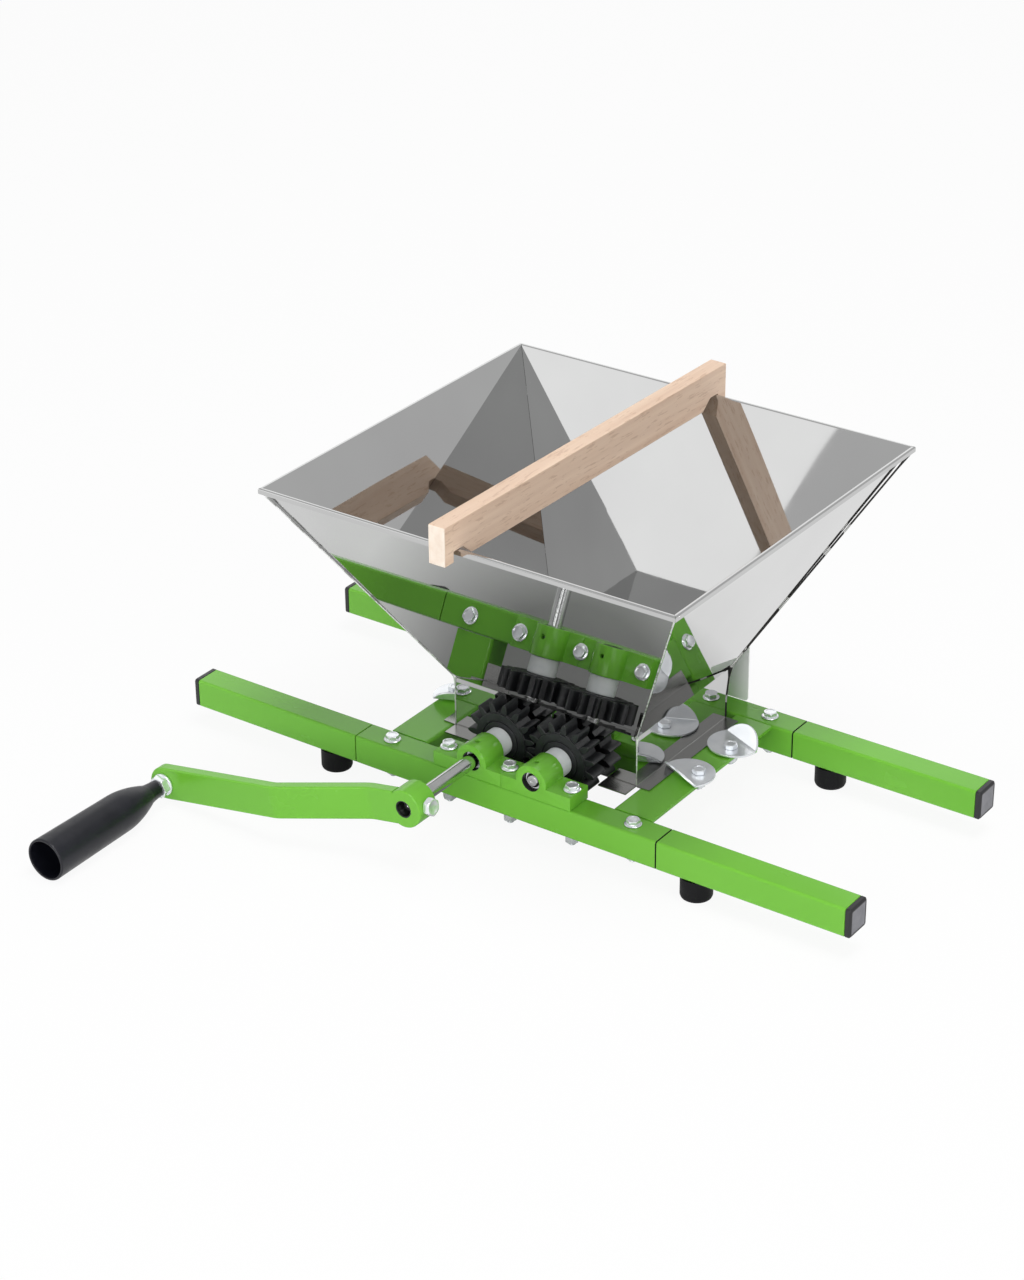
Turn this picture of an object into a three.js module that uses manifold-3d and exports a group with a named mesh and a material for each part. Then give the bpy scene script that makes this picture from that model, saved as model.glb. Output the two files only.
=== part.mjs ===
// Hand-cranked apple scratter: a stainless hopper over two geared crushing rollers on an H-shaped frame.
// Millimetres, +Z up, +Y to the rear. The pieces are placed from the rail tops (z = 0) and the frame's
// middle, and the whole machine is then set with its origin on the ground, below its middle.
import * as THREE from "three";
import { mergeVertices } from "three/addons/utils/BufferGeometryUtils.js";
import Module from "manifold-3d";

const wasm = await Module();
wasm.setup();

// Clearance between pieces that touch or turn
const gap = 0.3;

// How far a cutting shape reaches past the piece that it cuts
const past = 1;

// Facets round a full circle of a bolt, a shaft and a large round piece, and of the smaller curves
const boltSteps = 12;
const shaftSteps = 24;
const largeSteps = 28;
const cornerSteps = 3;
const bendSteps = 6;
const toothSteps = 4;
const ribSteps = 8;
const shoulderSteps = 5;

// Frame
const tubeSide = 25;
const tubeWall = 2.2;
const tubeCorner = 2;
const railSpacing = 205.2;
const middleRailLength = 290.2;
const extensionLength = 166;
const insertReach = 45;
const insertRoot = 14;
const insertCorner = 1;
const frameBoltInset = 28.6;
const crossMemberWidth = 36;
const crossMemberSheet = 3;
const crossMemberMargin = 2;
const capBand = 3.6;
const capChamfer = 1.3;
const capPlug = 12;

// Feet
const footRadius = 13;
const footHeight = 18.2;
const footEdge = 2.2;
const footInset = 30;
const footStudRadius = 3;
const footStudLength = 9;

// Hexagon flange bolts
const boltRadius = 3;
const boltAcrossFlats = 10;
const boltHeadHeight = 4.6;
const boltFlangeRadius = 7;
const boltFlangeHeight = 1.3;
const boltFlangeRim = 0.65;
const nutHeight = 5;
const boltEndHeight = 2.5;
const bearingWashers = 3.2;
const bearingWasherRadius = 6;
const bearingNutHeight = 6.4;

// Shafts and bearings
const shaftRadius = 6;
const shaftHeight = 14.5;
const bossRadius = 14.3;
const earHeight = 12;
const earBoltReach = 16.5;
const earEnd = 6.5;
const sleeveRadius = 7.9;
const sleeveRecess = 5;
const collarRadius = 12;
const frontCollar = 14.5;
const rearCollar = 6.6;
const oilHoleRadius = 2;
const oilHoleShift = 3.4;
const rearBlockShift = 1.7;
const shaftEndRecess = 1.6;
const keyWidth = 4;
const keyHeight = 1.5;
const slotMargin = 1;
const collarToSkirt = 0.6;

// Gears
const gearTeeth = 15;
const pitchRadius = 28.7;
const toothTip = 32.9;
const toothRoot = 24.2;
const toothHalfWidth = 2.9;
const toothFullness = 2.4;
const toothBluntness = 0.6;
const gearWidth = 17.5;
const gearDiscRadius = 23.8;
const gearDiscProud = 1;
const gearHubRadius = 17;
const gearHubGroove = 1.2;
const gearToSkirt = 3.2;

// Crushing rollers
const rollerRadius = 27.5;
const rollerRibs = 10;
const rollerRibHeight = 3;
const rollerEndGap = 1.8;

// Hopper
const sheet = 1;
const throatHalfWidth = 88;
const foldHeight = 45;
const rimHeight = 230;
const sideFlare = 103.5;
const frontFlare = 112.2;
const rearFlare = 103.5;
const rearLeanHeight = 19;
const rearLean = 5.1;
const hemWidth = 1.6;
const hemDrop = 3.5;
const sideFlange = 12;
const frontFlange = 15.5;
const frontFlangeTab = 26;
const guardSheet = 1.2;
const guardFlange = 12;
const deflectorTop = 43;
const deflectorKnee = 22;
const deflectorToRoller = 1;
const deflectorFoot = 3;

// Clamp plates
const clampRadius = 22;
const clampSheet = 1.8;
const clampFold = 7.5;
const clampFlapAngle = THREE.MathUtils.degToRad(52);
const clampTurn = THREE.MathUtils.degToRad(24);
const clampBoltAlong = 5;
const clampBoltAcross = 7;
const clampBoltFromEdge = 6.5;
const frontClampPlace = -12;
const rearClampPlace = 36;
const clampBoltHead = 4;

// Crank and grip
const crankRadius = 228;
const hubRadius = 16;
const hubLength = 21.5;
const hubStandoff = 67.7;
const hubMouthChamfer = 1;
const hubShaftRecess = 6.5;
const armHeight = 28;
const armThickness = 10;
const joggleStart = 34;
const joggleEnd = 112;
const joggleOffset = 24.6;
const joggleBend = 26;
const setBoltRadius = 4;
const setBoltAcrossFlats = 13;
const setBoltHead = 5.5;
const studRadius = 5;
const studAcrossFlats = 16;
const studNutHeight = 7;
const studBackNut = 5;
const studEnd = 2;
const studWasherRadius = 9.5;
const studWasher = 1.8;
const gripLength = 131;
const gripRadius = 16.6;
const gripMouthRadius = 17.9;
const gripEndRadius = 7.2;
const gripNeckRadius = 8.5;
const gripNeckLength = 12;
const gripShoulder = 36;
const gripWall = 2.2;
const gripBearingLength = 22;
const gripHeadRoom = 1;
const studHeadRadius = 8;
const studHeadHeight = 5;

// Wooden bar
const barOverhang = 14;
const barWidth = 15;
const barAboveRim = 23.6;
const barLegDepth = 9;
const barLeg = 11.5;
const barNotch = 11.5;
const barBevel = 10.5;
const barShiftX = -4.2;
const barShiftY = -1.75;
const barTurn = THREE.MathUtils.degToRad(1.15);

// Places worked out from the sizes
const railY = railSpacing / 2;
const railInnerY = railY - tubeSide / 2;
const railOuterY = railY + tubeSide / 2;
const seamX = middleRailLength / 2;
const ground = -(tubeSide + gap + footHeight);
const shaftX = pitchRadius;
const earBoltX = shaftX + bossRadius + earBoltReach;
const boltHole = boltRadius + gap;
const shaftHole = shaftRadius + gap;
const crossInnerX = throatHalfWidth + crossMemberMargin;
const crossOuterX = crossInnerX + crossMemberWidth;
const clampBoltX = crossOuterX - clampBoltFromEdge;
const gearFrontY = -railInnerY + gap + frontCollar + gap;
const gearRearY = gearFrontY + gearWidth;
const skirtFrontY = gearRearY + gearToSkirt;
const rearBlockFrontY = railInnerY - rearBlockShift;
const collarTop = shaftHeight + collarRadius;
const leanAtCollar = (rearLean * (collarTop - rearLeanHeight)) / (foldHeight - rearLeanHeight);
const skirtRearY = rearBlockFrontY - gap - rearCollar - collarToSkirt - Math.max(leanAtCollar, 0);
const rearFoldY = skirtRearY + rearLean;
const rimHalfWidth = throatHalfWidth + sideFlare;
const rimFrontY = skirtFrontY - frontFlare;
const rimRearY = rearFoldY + rearFlare;
const rearBlockRearY = rearBlockFrontY + tubeSide;
const rollerFrontY = skirtFrontY + sheet + rollerEndGap;
const rollerRearY = skirtRearY - sheet - rollerEndGap;
const hubRearY = -railOuterY - hubStandoff;
const hubFrontY = hubRearY - hubLength;
const armOuterY = hubFrontY - joggleOffset;
const gripRearY = armOuterY - studWasher - studNutHeight - 3 * gap;
const gripFrontY = gripRearY - gripLength;
const crankRestAngle = Math.asin((shaftHeight - ground - gripMouthRadius) / crankRadius);
const rollerReach = shaftX + rollerRadius + deflectorToRoller;
const barTop = rimHeight + barAboveRim;
const barLength = rimRearY - rimFrontY + 2 * barOverhang;

// Outlines
function vectors(points) {
  return points.map(([x, y]) => new THREE.Vector2(x, y));
}

function shapeOf(points, holes = []) {
  const shape = new THREE.Shape(vectors(points));
  for (const hole of holes) shape.holes.push(new THREE.Path(vectors(hole)));
  return shape;
}

function circle(radius, steps, x = 0, y = 0, from = 0, to = 2 * Math.PI) {
  const whole = to - from > 2 * Math.PI - 1e-9;
  const count = whole ? steps : steps + 1;
  return Array.from({ length: count }, (_, i) => {
    const angle = from + ((to - from) * i) / steps;
    return [x + radius * Math.cos(angle), y + radius * Math.sin(angle)];
  });
}

function rectangle(x0, x1, y0, y1) {
  return [[x0, y0], [x1, y0], [x1, y1], [x0, y1]];
}

function roundedSquare(side, radius) {
  const c = side / 2 - radius;
  const quarter = Math.PI / 2;
  return [[c, c], [-c, c], [-c, -c], [c, -c]].flatMap(([x, y], i) =>
    circle(radius, cornerSteps, x, y, i * quarter, (i + 1) * quarter),
  );
}

function hexagon(acrossFlats) {
  return circle(acrossFlats / Math.sqrt(3), 6);
}

// A bent sheet's section: one face follows the points and the other lies a thickness to their left,
// or to their right where the thickness is negative.
function bentSheet(points, thickness) {
  const directions = points.slice(1).map(([x, y], i) => {
    const [x0, y0] = points[i];
    const length = Math.hypot(x - x0, y - y0);
    return [(x - x0) / length, (y - y0) / length];
  });
  const other = points.map(([x, y], i) => {
    const [ax, ay] = directions[Math.max(i - 1, 0)];
    const [bx, by] = directions[Math.min(i, directions.length - 1)];
    const scale = thickness / (1 + ax * bx + ay * by);
    return [x - (ay + by) * scale, y + (ax + bx) * scale];
  });
  return [...points, ...other.reverse()];
}

// A path with its inner corners rounded by arcs of one radius
function filletedPath(points, radius, steps) {
  const path = [points[0]];
  for (let i = 1; i < points.length - 1; i++) {
    const corner = new THREE.Vector2(...points[i]);
    const toBefore = new THREE.Vector2(...points[i - 1]).sub(corner).normalize();
    const toAfter = new THREE.Vector2(...points[i + 1]).sub(corner).normalize();
    const half = Math.acos(toBefore.dot(toAfter)) / 2;
    const inward = toBefore.clone().add(toAfter).normalize();
    const centre = inward.multiplyScalar(radius / Math.sin(half)).add(corner);
    const start = toBefore.multiplyScalar(radius / Math.tan(half)).add(corner).sub(centre);
    const end = toAfter.multiplyScalar(radius / Math.tan(half)).add(corner).sub(centre);
    const turn = Math.atan2(start.cross(end), start.dot(end));
    for (let k = 0; k <= steps; k++) {
      const point = start.clone().rotateAround(new THREE.Vector2(), (turn * k) / steps).add(centre);
      path.push([point.x, point.y]);
    }
  }
  path.push(points[points.length - 1]);
  return path;
}

// Solids from outlines: alongZ takes an outline in x and y, alongY one in x and z, alongX one in y and z
function alongZ(shape, bottom, top) {
  const settings = { depth: top - bottom, bevelEnabled: false };
  return new THREE.ExtrudeGeometry(shape, settings).translate(0, 0, bottom);
}

function alongY(shape, front, rear) {
  return alongZ(shape, 0, rear - front).rotateX(Math.PI / 2).translate(0, rear, 0);
}

function alongX(shape, left, right) {
  return alongZ(shape, 0, right - left).rotateX(Math.PI / 2).rotateZ(Math.PI / 2).translate(left, 0, 0);
}

function block(x0, x1, y0, y1, z0, z1) {
  return alongZ(shapeOf(rectangle(x0, x1, y0, y1)), z0, z1);
}

// A turned piece on the Z axis from [radius, height] pairs
function turned(profile, steps) {
  return new THREE.LatheGeometry(vectors(profile), steps).rotateX(Math.PI / 2);
}

// A piece made along Z, laid along Y with its heights measured to the rear
function laidAlongY(geometry) {
  return geometry.rotateX(-Math.PI / 2);
}

// Joins and cuts
function solidOf(geometry) {
  const bare = geometry.index ? geometry.toNonIndexed() : geometry.clone();
  bare.deleteAttribute("normal");
  bare.deleteAttribute("uv");
  const merged = mergeVertices(bare, 1e-4);
  return new wasm.Manifold(
    new wasm.Mesh({
      numProp: 3,
      vertProperties: merged.attributes.position.array,
      triVerts: new Uint32Array(merged.index.array),
    }),
  );
}

function geometryOf(solid) {
  const mesh = solid.getMesh();
  const geometry = new THREE.BufferGeometry();
  geometry.setAttribute("position", new THREE.BufferAttribute(mesh.vertProperties, 3));
  geometry.setIndex(new THREE.BufferAttribute(mesh.triVerts, 1));
  const faceted = geometry.toNonIndexed();
  faceted.computeVertexNormals();
  return faceted;
}

function join(...pieces) {
  return geometryOf(pieces.map(solidOf).reduce((a, b) => a.add(b)));
}

function cut(piece, ...tools) {
  return geometryOf(tools.map(solidOf).reduce((a, b) => a.subtract(b), solidOf(piece)));
}

function common(...pieces) {
  return geometryOf(pieces.map(solidOf).reduce((a, b) => a.intersect(b)));
}

// Finishes, one for each kind of surface in the photograph
function finish(color, roughness, metalness) {
  return new THREE.MeshStandardMaterial({ color, roughness, metalness });
}
const greenPaint = finish(0x5fae2b, 0.35, 0.1);
const stainless = finish(0xc9ccc9, 0.12, 1);
const zinc = finish(0xb9bec2, 0.35, 0.9);
const shaftSteel = finish(0xa8abad, 0.25, 1);
const castAluminium = finish(0xb4b6b8, 0.5, 0.9);
const blackPlastic = finish(0x17181a, 0.45, 0);
const whiteNylon = finish(0xc9ccce, 0.5, 0);
const rubber = finish(0x141414, 0.8, 0);
const beech = finish(0xd9b48c, 0.6, 0);

const machine = new THREE.Group();

function add(name, geometry, material, place = [0, 0, 0], parent = machine) {
  const mesh = new THREE.Mesh(geometry, material);
  mesh.name = name;
  mesh.position.set(...place);
  parent.add(mesh);
  return mesh;
}

const sides = [["left", -1], ["right", 1]];
const ends = [["front", -1], ["rear", 1]];
const corners = ends.flatMap(([end, toRear]) =>
  sides.map(([side, toRight]) => ({ end, toRear, side, toRight })),
);

// Bolts: the head sits on z = 0, and the nut, or its washers, bear on the underside of the grip length
function flangeBolt(gripped, nutDepth = nutHeight, washers = 0) {
  const nutTop = -(gripped + washers);
  const nutEnd = nutTop - nutDepth;
  const shankEnd = nutEnd - boltEndHeight;
  const flange = turned([
    [0, 0], [boltFlangeRadius, 0], [boltFlangeRadius, boltFlangeRim],
    [boltAcrossFlats / 2, boltFlangeHeight], [0, boltFlangeHeight],
  ], boltSteps);
  return join(
    flange,
    alongZ(shapeOf(hexagon(boltAcrossFlats)), boltFlangeRim, boltHeadHeight),
    alongZ(shapeOf(circle(boltRadius, boltSteps)), shankEnd, boltFlangeRim),
    alongZ(shapeOf(hexagon(boltAcrossFlats)), nutEnd, nutTop),
    ...(washers ? [alongZ(shapeOf(circle(bearingWasherRadius, boltSteps)), nutTop - past, -gripped)] : []),
  );
}

// Frame rails: square tubes, the middle ones drilled for their bolts
function tube(length, hollowFrom, hollowTo) {
  const outer = alongX(shapeOf(roundedSquare(tubeSide, tubeCorner)), 0, length);
  const inner = tubeSide / 2 - tubeWall;
  return cut(outer, alongX(shapeOf(rectangle(-inner, inner, -inner, inner)), hollowFrom, hollowTo));
}

function drilled(geometry, holes, radius, bottom, top) {
  const drills = holes.map(([x, y]) => alongZ(shapeOf(circle(radius, boltSteps, x, y)), bottom, top));
  return cut(geometry, ...drills);
}

const frameBoltX = seamX - frameBoltInset;
const railMiddleZ = -tubeSide / 2;
for (const [end, toRear] of ends) {
  const rail = tube(middleRailLength, -past, middleRailLength + past).translate(-seamX, 0, railMiddleZ);
  const bearingBoltY = toRear > 0 ? -rearBlockShift : 0;
  const holes = [
    [-frameBoltX, 0], [frameBoltX, 0],
    [-earBoltX, bearingBoltY], [0, bearingBoltY], [earBoltX, bearingBoltY],
  ];
  const drilledRail = drilled(rail, holes, boltHole, -tubeSide - past, past);
  add(`${end}_rail`, drilledRail, greenPaint, [0, toRear * railY, 0]);
}

for (const [side, toRight] of sides) {
  const angleSection = [
    [crossInnerX, -tubeSide], [crossInnerX + crossMemberSheet, -tubeSide],
    [crossInnerX + crossMemberSheet, -crossMemberSheet], [crossOuterX, -crossMemberSheet],
    [crossOuterX, 0], [crossInnerX, 0],
  ].map(([x, z]) => [toRight * x, z]);
  const angle = alongY(shapeOf(angleSection), -railInnerY + gap, railInnerY - gap);
  const holes = [frontClampPlace, rearClampPlace].map((y) => [toRight * clampBoltX, y]);
  add(`${side}_cross_member`, drilled(angle, holes, boltHole, -crossMemberSheet - past, past), greenPaint);
}

const insertSide = tubeSide - 2 * tubeWall - 2 * gap;

// Extension rails: a tube with an insert fixed in its inner end, which slides into the middle tube
function extensionRail() {
  const body = join(
    tube(extensionLength, insertRoot, extensionLength + past).translate(gap, 0, 0),
    alongX(shapeOf(roundedSquare(insertSide, insertCorner)), -insertReach, insertRoot / 2),
  ).translate(seamX, 0, railMiddleZ);
  const bolted = drilled(body, [[frameBoltX, 0]], boltHole, -tubeSide - past, past);
  return drilled(bolted, [[seamX + footInset, 0]], footStudRadius + gap, -tubeSide - past, railMiddleZ);
}

function endCap() {
  const faceSide = tubeSide - 2 * capChamfer;
  const band = alongX(shapeOf(roundedSquare(tubeSide, tubeCorner)), 0, capBand);
  const chamfer = new THREE.CylinderGeometry(
    faceSide / Math.SQRT2, tubeSide / Math.SQRT2, capChamfer, 4, 1, false, Math.PI / 4,
  ).rotateZ(-Math.PI / 2).translate(capBand + capChamfer / 2, 0, 0);
  const rounded = alongX(shapeOf(roundedSquare(tubeSide, tubeCorner)), capBand, capBand + capChamfer);
  const plug = alongX(shapeOf(roundedSquare(insertSide, insertCorner)), -capPlug, capBand / 2);
  return join(band, common(chamfer, rounded), plug);
}

function foot() {
  return join(
    turned([
      [0, 0], ...circle(footEdge, 2, footRadius - footEdge, footEdge, -Math.PI / 2, 0),
      [footRadius, footHeight], [0, footHeight],
    ], shaftSteps),
    alongZ(shapeOf(circle(footStudRadius, boltSteps)), footHeight / 2, footHeight + footStudLength),
  );
}

for (const { end, toRear, side, toRight } of corners) {
  const arm = new THREE.Group();
  arm.position.y = toRear * railY;
  arm.rotation.z = toRight > 0 ? 0 : Math.PI;
  machine.add(arm);
  add(`${end}_${side}_extension_rail`, extensionRail(), greenPaint, [0, 0, 0], arm);
  const capX = seamX + gap + extensionLength + gap;
  add(`${end}_${side}_end_cap`, endCap(), blackPlastic, [capX, 0, railMiddleZ], arm);
  add(`${end}_${side}_foot`, foot(), rubber, [seamX + footInset, 0, ground], arm);
  add(`${end}_${side}_frame_bolt`, flangeBolt(tubeSide + 2 * gap), zinc, [frameBoltX, 0, gap], arm);
}

// Bearing blocks: an ear with a bolt hole at each end and a boss over the shaft. Two blocks share the
// middle bolt, which passes between them.
function bearingBlock(toRight) {
  const innerX = gap / 2;
  const outerX = earBoltX + earEnd;
  const along = Math.asin((earHeight - shaftHeight) / bossRadius);
  const outline = [
    [innerX, gap], [outerX, gap], [outerX, earHeight],
    ...circle(bossRadius, largeSteps / 2, shaftX, shaftHeight, along, Math.PI - along),
    [innerX, earHeight],
  ].map(([x, z]) => [toRight * x, z]);
  const bore = circle(sleeveRadius + gap, shaftSteps, toRight * shaftX, shaftHeight);
  const body = alongY(shapeOf(outline, [bore]), -tubeSide / 2, tubeSide / 2);
  const boltHoles = drilled(body, [[0, 0], [toRight * earBoltX, 0]], boltHole, 0, earHeight + past);
  const oilCircle = circle(oilHoleRadius, boltSteps, toRight * shaftX, -oilHoleShift);
  const oilHole = alongZ(shapeOf(oilCircle), shaftHeight, shaftHeight + bossRadius + past);
  return cut(boltHoles, oilHole);
}

// Bushings: a sleeve in the block and a collar that spaces the turning pieces off it, along +Y from
// the block
function bushing(collarLength) {
  const profile = [
    [shaftHole, -(tubeSide - sleeveRecess)], [sleeveRadius, -(tubeSide - sleeveRecess)],
    [sleeveRadius, gap], [collarRadius, gap], [collarRadius, gap + collarLength],
    [shaftHole, gap + collarLength], [shaftHole, -(tubeSide - sleeveRecess)],
  ];
  return laidAlongY(turned(profile, shaftSteps));
}

for (const { end, toRear, side, toRight } of corners) {
  const blockY = toRear < 0 ? -railY : railY - rearBlockShift;
  add(`${end}_${side}_bearing_block`, bearingBlock(toRight), greenPaint, [0, blockY, 0]);
  const collar = toRear < 0 ? frontCollar : rearCollar;
  const faceY = toRear < 0 ? -railInnerY : rearBlockFrontY;
  const place = [toRight * shaftX, faceY, shaftHeight];
  const liner = add(`${end}_${side}_bushing`, bushing(collar), whiteNylon, place);
  liner.rotation.z = toRear < 0 ? 0 : Math.PI;
}
for (const [end, toRear] of ends) {
  const boltY = toRear < 0 ? -railY : railY - rearBlockShift;
  for (const [place, x] of [["left", -earBoltX], ["middle", 0], ["right", earBoltX]]) {
    const bolt = flangeBolt(tubeSide + earHeight + 2 * gap, bearingNutHeight, bearingWashers);
    add(`${end}_${place}_bearing_bolt`, bolt, zinc, [x, boltY, earHeight + gap]);
  }
}

// Shafts: round bars with a key under the gear and the roller
const keyTop = shaftRadius + keyHeight;
function shaft(frontY, rearY) {
  const bar = alongY(shapeOf(circle(shaftRadius, shaftSteps)), frontY, rearY);
  const key = block(-keyWidth / 2, keyWidth / 2, gearFrontY + 2 * gap, rollerRearY, 0, keyTop);
  return join(bar, key);
}

function keyedBore() {
  const half = keyWidth / 2 + gap;
  const from = Math.asin(half / shaftHole);
  const arc = circle(shaftHole, shaftSteps, 0, 0, Math.PI / 2 + from, 2.5 * Math.PI - from);
  return [...arc, [half, keyTop + gap], [-half, keyTop + gap]];
}

// Gear teeth are long rounded leaves: their half width falls from the root to nothing at the tip
function gearOutline() {
  const points = [];
  for (let tooth = 0; tooth < gearTeeth; tooth++) {
    const middle = Math.PI + (2 * Math.PI * tooth) / gearTeeth;
    for (let i = -toothSteps; i <= toothSteps; i++) {
      const rise = 1 - Math.abs(i) / toothSteps;
      const height = Math.sin((rise * Math.PI) / 2);
      const along = toothRoot + (toothTip - toothRoot) * height;
      const half = toothHalfWidth * (1 - height ** toothFullness) ** toothBluntness * Math.sign(i);
      points.push([along * Math.cos(middle) - half * Math.sin(middle),
        along * Math.sin(middle) + half * Math.cos(middle)]);
    }
  }
  return points;
}

function gear() {
  const wheel = alongY(shapeOf(gearOutline(), [keyedBore()]), gearDiscProud, gearWidth);
  const disc = alongY(shapeOf(circle(gearDiscRadius, largeSteps), [keyedBore()]), 0, gearWidth / 2);
  const grooveRadius = gearHubRadius + gearHubGroove;
  const ring = shapeOf(circle(grooveRadius, largeSteps), [circle(gearHubRadius, largeSteps)]);
  return cut(join(wheel, disc), alongY(ring, -past, gearDiscProud));
}

function roller() {
  const mean = rollerRadius - rollerRibHeight / 2;
  const outline = Array.from({ length: rollerRibs * ribSteps }, (_, i) => {
    const angle = (2 * Math.PI * i) / (rollerRibs * ribSteps);
    const radius = mean + (rollerRibHeight / 2) * Math.cos(rollerRibs * angle);
    return [radius * Math.cos(angle), radius * Math.sin(angle)];
  });
  return alongY(shapeOf(outline, [keyedBore()]), rollerFrontY, rollerRearY);
}

const shaftRearY = rearBlockRearY - shaftEndRecess;
const turning = [
  ["drive", -1, hubFrontY + hubShaftRecess],
  ["driven", 1, -railOuterY + shaftEndRecess],
];
for (const [name, toRight, frontY] of turning) {
  const axis = [toRight * shaftX, 0, shaftHeight];
  add(`${name}_shaft`, shaft(frontY, shaftRearY), shaftSteel, axis);
  add(`${name}_gear`, gear(), blackPlastic, [axis[0], gearFrontY, axis[2]]);
  add(`${name}_roller`, roller(), castAluminium, axis);
}

// Crank: a hub and a joggled flat arm in one piece, hanging until the grip lies on the ground
const crank = new THREE.Group();
crank.position.set(-shaftX, 0, shaftHeight);
crank.rotation.y = -crankRestAngle;
machine.add(crank);

function crankArm() {
  const end = armHeight / 2;
  const path = filletedPath([
    [0, hubFrontY], [-joggleStart, hubFrontY], [-joggleEnd, armOuterY], [-crankRadius - end, armOuterY],
  ], joggleBend, bendSteps);
  const bar = alongZ(shapeOf(bentSheet(path, -armThickness)), -armHeight / 2, armHeight / 2);
  const roundEnd = [
    [0, -end], ...circle(end, largeSteps / 2, -crankRadius, 0, -Math.PI / 2, -1.5 * Math.PI), [0, end],
  ];
  const arm = common(bar, alongY(shapeOf(roundEnd), armOuterY - past, hubRearY));
  const hub = alongY(shapeOf(circle(hubRadius, largeSteps)), hubFrontY, hubRearY);
  const bore = laidAlongY(turned([
    [0, -past], [shaftHole + hubMouthChamfer + past, -past], [shaftHole, hubMouthChamfer],
    [shaftHole, hubLength + past], [0, hubLength + past],
  ], shaftSteps)).translate(0, hubFrontY, 0);
  const setBoltCircle = circle(setBoltRadius + gap, boltSteps, (hubFrontY + hubRearY) / 2, 0);
  const setBoltHole = alongX(shapeOf(setBoltCircle), 0, hubRadius + past);
  const studCircle = circle(studRadius + gap, shaftSteps, -crankRadius, 0);
  const studHole = alongY(shapeOf(studCircle), armOuterY - past, armOuterY + armThickness + past);
  return cut(join(arm, hub), bore, setBoltHole, studHole);
}

function crankSetBolt() {
  const headFrom = hubRadius + gap;
  const shank = alongX(shapeOf(circle(setBoltRadius, boltSteps)), shaftHole, headFrom + setBoltHead / 2);
  return join(shank, alongX(shapeOf(hexagon(setBoltAcrossFlats)), headFrom, headFrom + setBoltHead));
}

// The handle stud, with a washer and a nut on the front of the arm, a nut behind it and a head in the grip
function handleStud() {
  const rod = (radius, front, rear) => alongY(shapeOf(circle(radius, shaftSteps)), front, rear);
  const nut = (front, rear) => alongY(shapeOf(hexagon(studAcrossFlats)), front, rear);
  const washerFront = armOuterY - gap - studWasher;
  const nutFront = washerFront - studNutHeight;
  const armRear = armOuterY + armThickness;
  const headRear = gripRearY - gripBearingLength - gap;
  return join(
    rod(studRadius, headRear - studHeadHeight / 2, armRear + gap + studBackNut + studEnd),
    rod(studWasherRadius, washerFront, armOuterY - gap),
    nut(nutFront, washerFront + studWasher / 2),
    nut(armRear + gap, armRear + gap + studBackNut),
    rod(studHeadRadius, headRear - studHeadHeight, headRear),
  );
}

// The grip: a turned plastic sleeve with a narrow neck, a bearing length inside it and an open front end
function handleGrip() {
  const outer = [
    [gripEndRadius, 0], [gripNeckRadius, gripNeckLength],
    ...Array.from({ length: shoulderSteps }, (_, i) => {
      const share = (i + 1) / shoulderSteps;
      const bulge = Math.sin((share * Math.PI) / 2);
      return [gripNeckRadius + (gripRadius - gripNeckRadius) * bulge, gripNeckLength + gripShoulder * share];
    }),
    [gripMouthRadius, gripLength],
  ];
  const inner = [
    [gripMouthRadius - gripWall, gripLength], [gripRadius - gripWall, gripBearingLength + gripShoulder],
    [studHeadRadius + gripHeadRoom, gripBearingLength],
    [studRadius + gap, gripBearingLength], [studRadius + gap, 0], [gripEndRadius, 0],
  ];
  return turned([...outer, ...inner], largeSteps).rotateX(Math.PI / 2);
}

add("crank_arm", crankArm(), greenPaint, [0, 0, 0], crank);
add("crank_set_bolt", crankSetBolt(), zinc, [0, (hubFrontY + hubRearY) / 2, 0], crank);
add("handle_stud", handleStud(), zinc, [-crankRadius, 0, 0], crank);
add("handle_grip", handleGrip(), blackPlastic, [-crankRadius, gripRearY, 0], crank);

// Hopper panels: each is one bent sheet, given by its outer face from the skirt up to the hemmed rim,
// and cut at the corners on upright planes through the hopper's corner edges
function rimPath(foldOut, rimOut) {
  const hemFold = rimOut - sheet - hemWidth;
  const hemTop = rimHeight - sheet;
  const hemEnd = [rimOut - sheet, hemTop - hemDrop];
  return [[foldOut, foldHeight], [hemFold, hemTop], [rimOut - sheet, hemTop], hemEnd];
}

// The plan of the plane through a corner edge, which runs on past the fold and the rim
const beyond = 30;
function cornerLine(foldY, rimY) {
  const fold = new THREE.Vector2(throatHalfWidth, foldY);
  const rim = new THREE.Vector2(rimHalfWidth, rimY);
  const step = rim.clone().sub(fold).normalize().multiplyScalar(beyond);
  return { inner: fold.clone().sub(step), outer: rim.clone().add(step) };
}
const frontCorner = cornerLine(skirtFrontY, rimFrontY);
const rearCorner = cornerLine(rearFoldY, rimRearY);
const cornerShift = gap / Math.SQRT2;
const skirtBottom = gap;
const aboveRim = rimHeight + past;

function endWedge({ inner, outer }, shift, bottom, top) {
  const plan = [[outer.x, outer.y], [-outer.x, outer.y], [-inner.x, inner.y], [inner.x, inner.y]];
  return alongZ(shapeOf(plan), bottom, top).translate(0, shift, 0);
}

const shaftSlotRadius = Math.hypot(keyTop, keyWidth / 2) + slotMargin;
function shaftSlots(frontY, rearY) {
  return sides.map(([, toRight]) => {
    const arch = [
      [shaftSlotRadius, -past], ...circle(shaftSlotRadius, boltSteps, 0, shaftHeight, 0, Math.PI),
      [-shaftSlotRadius, -past],
    ];
    return alongY(shapeOf(arch), frontY, rearY).translate(toRight * shaftX, 0, 0);
  });
}

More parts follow.
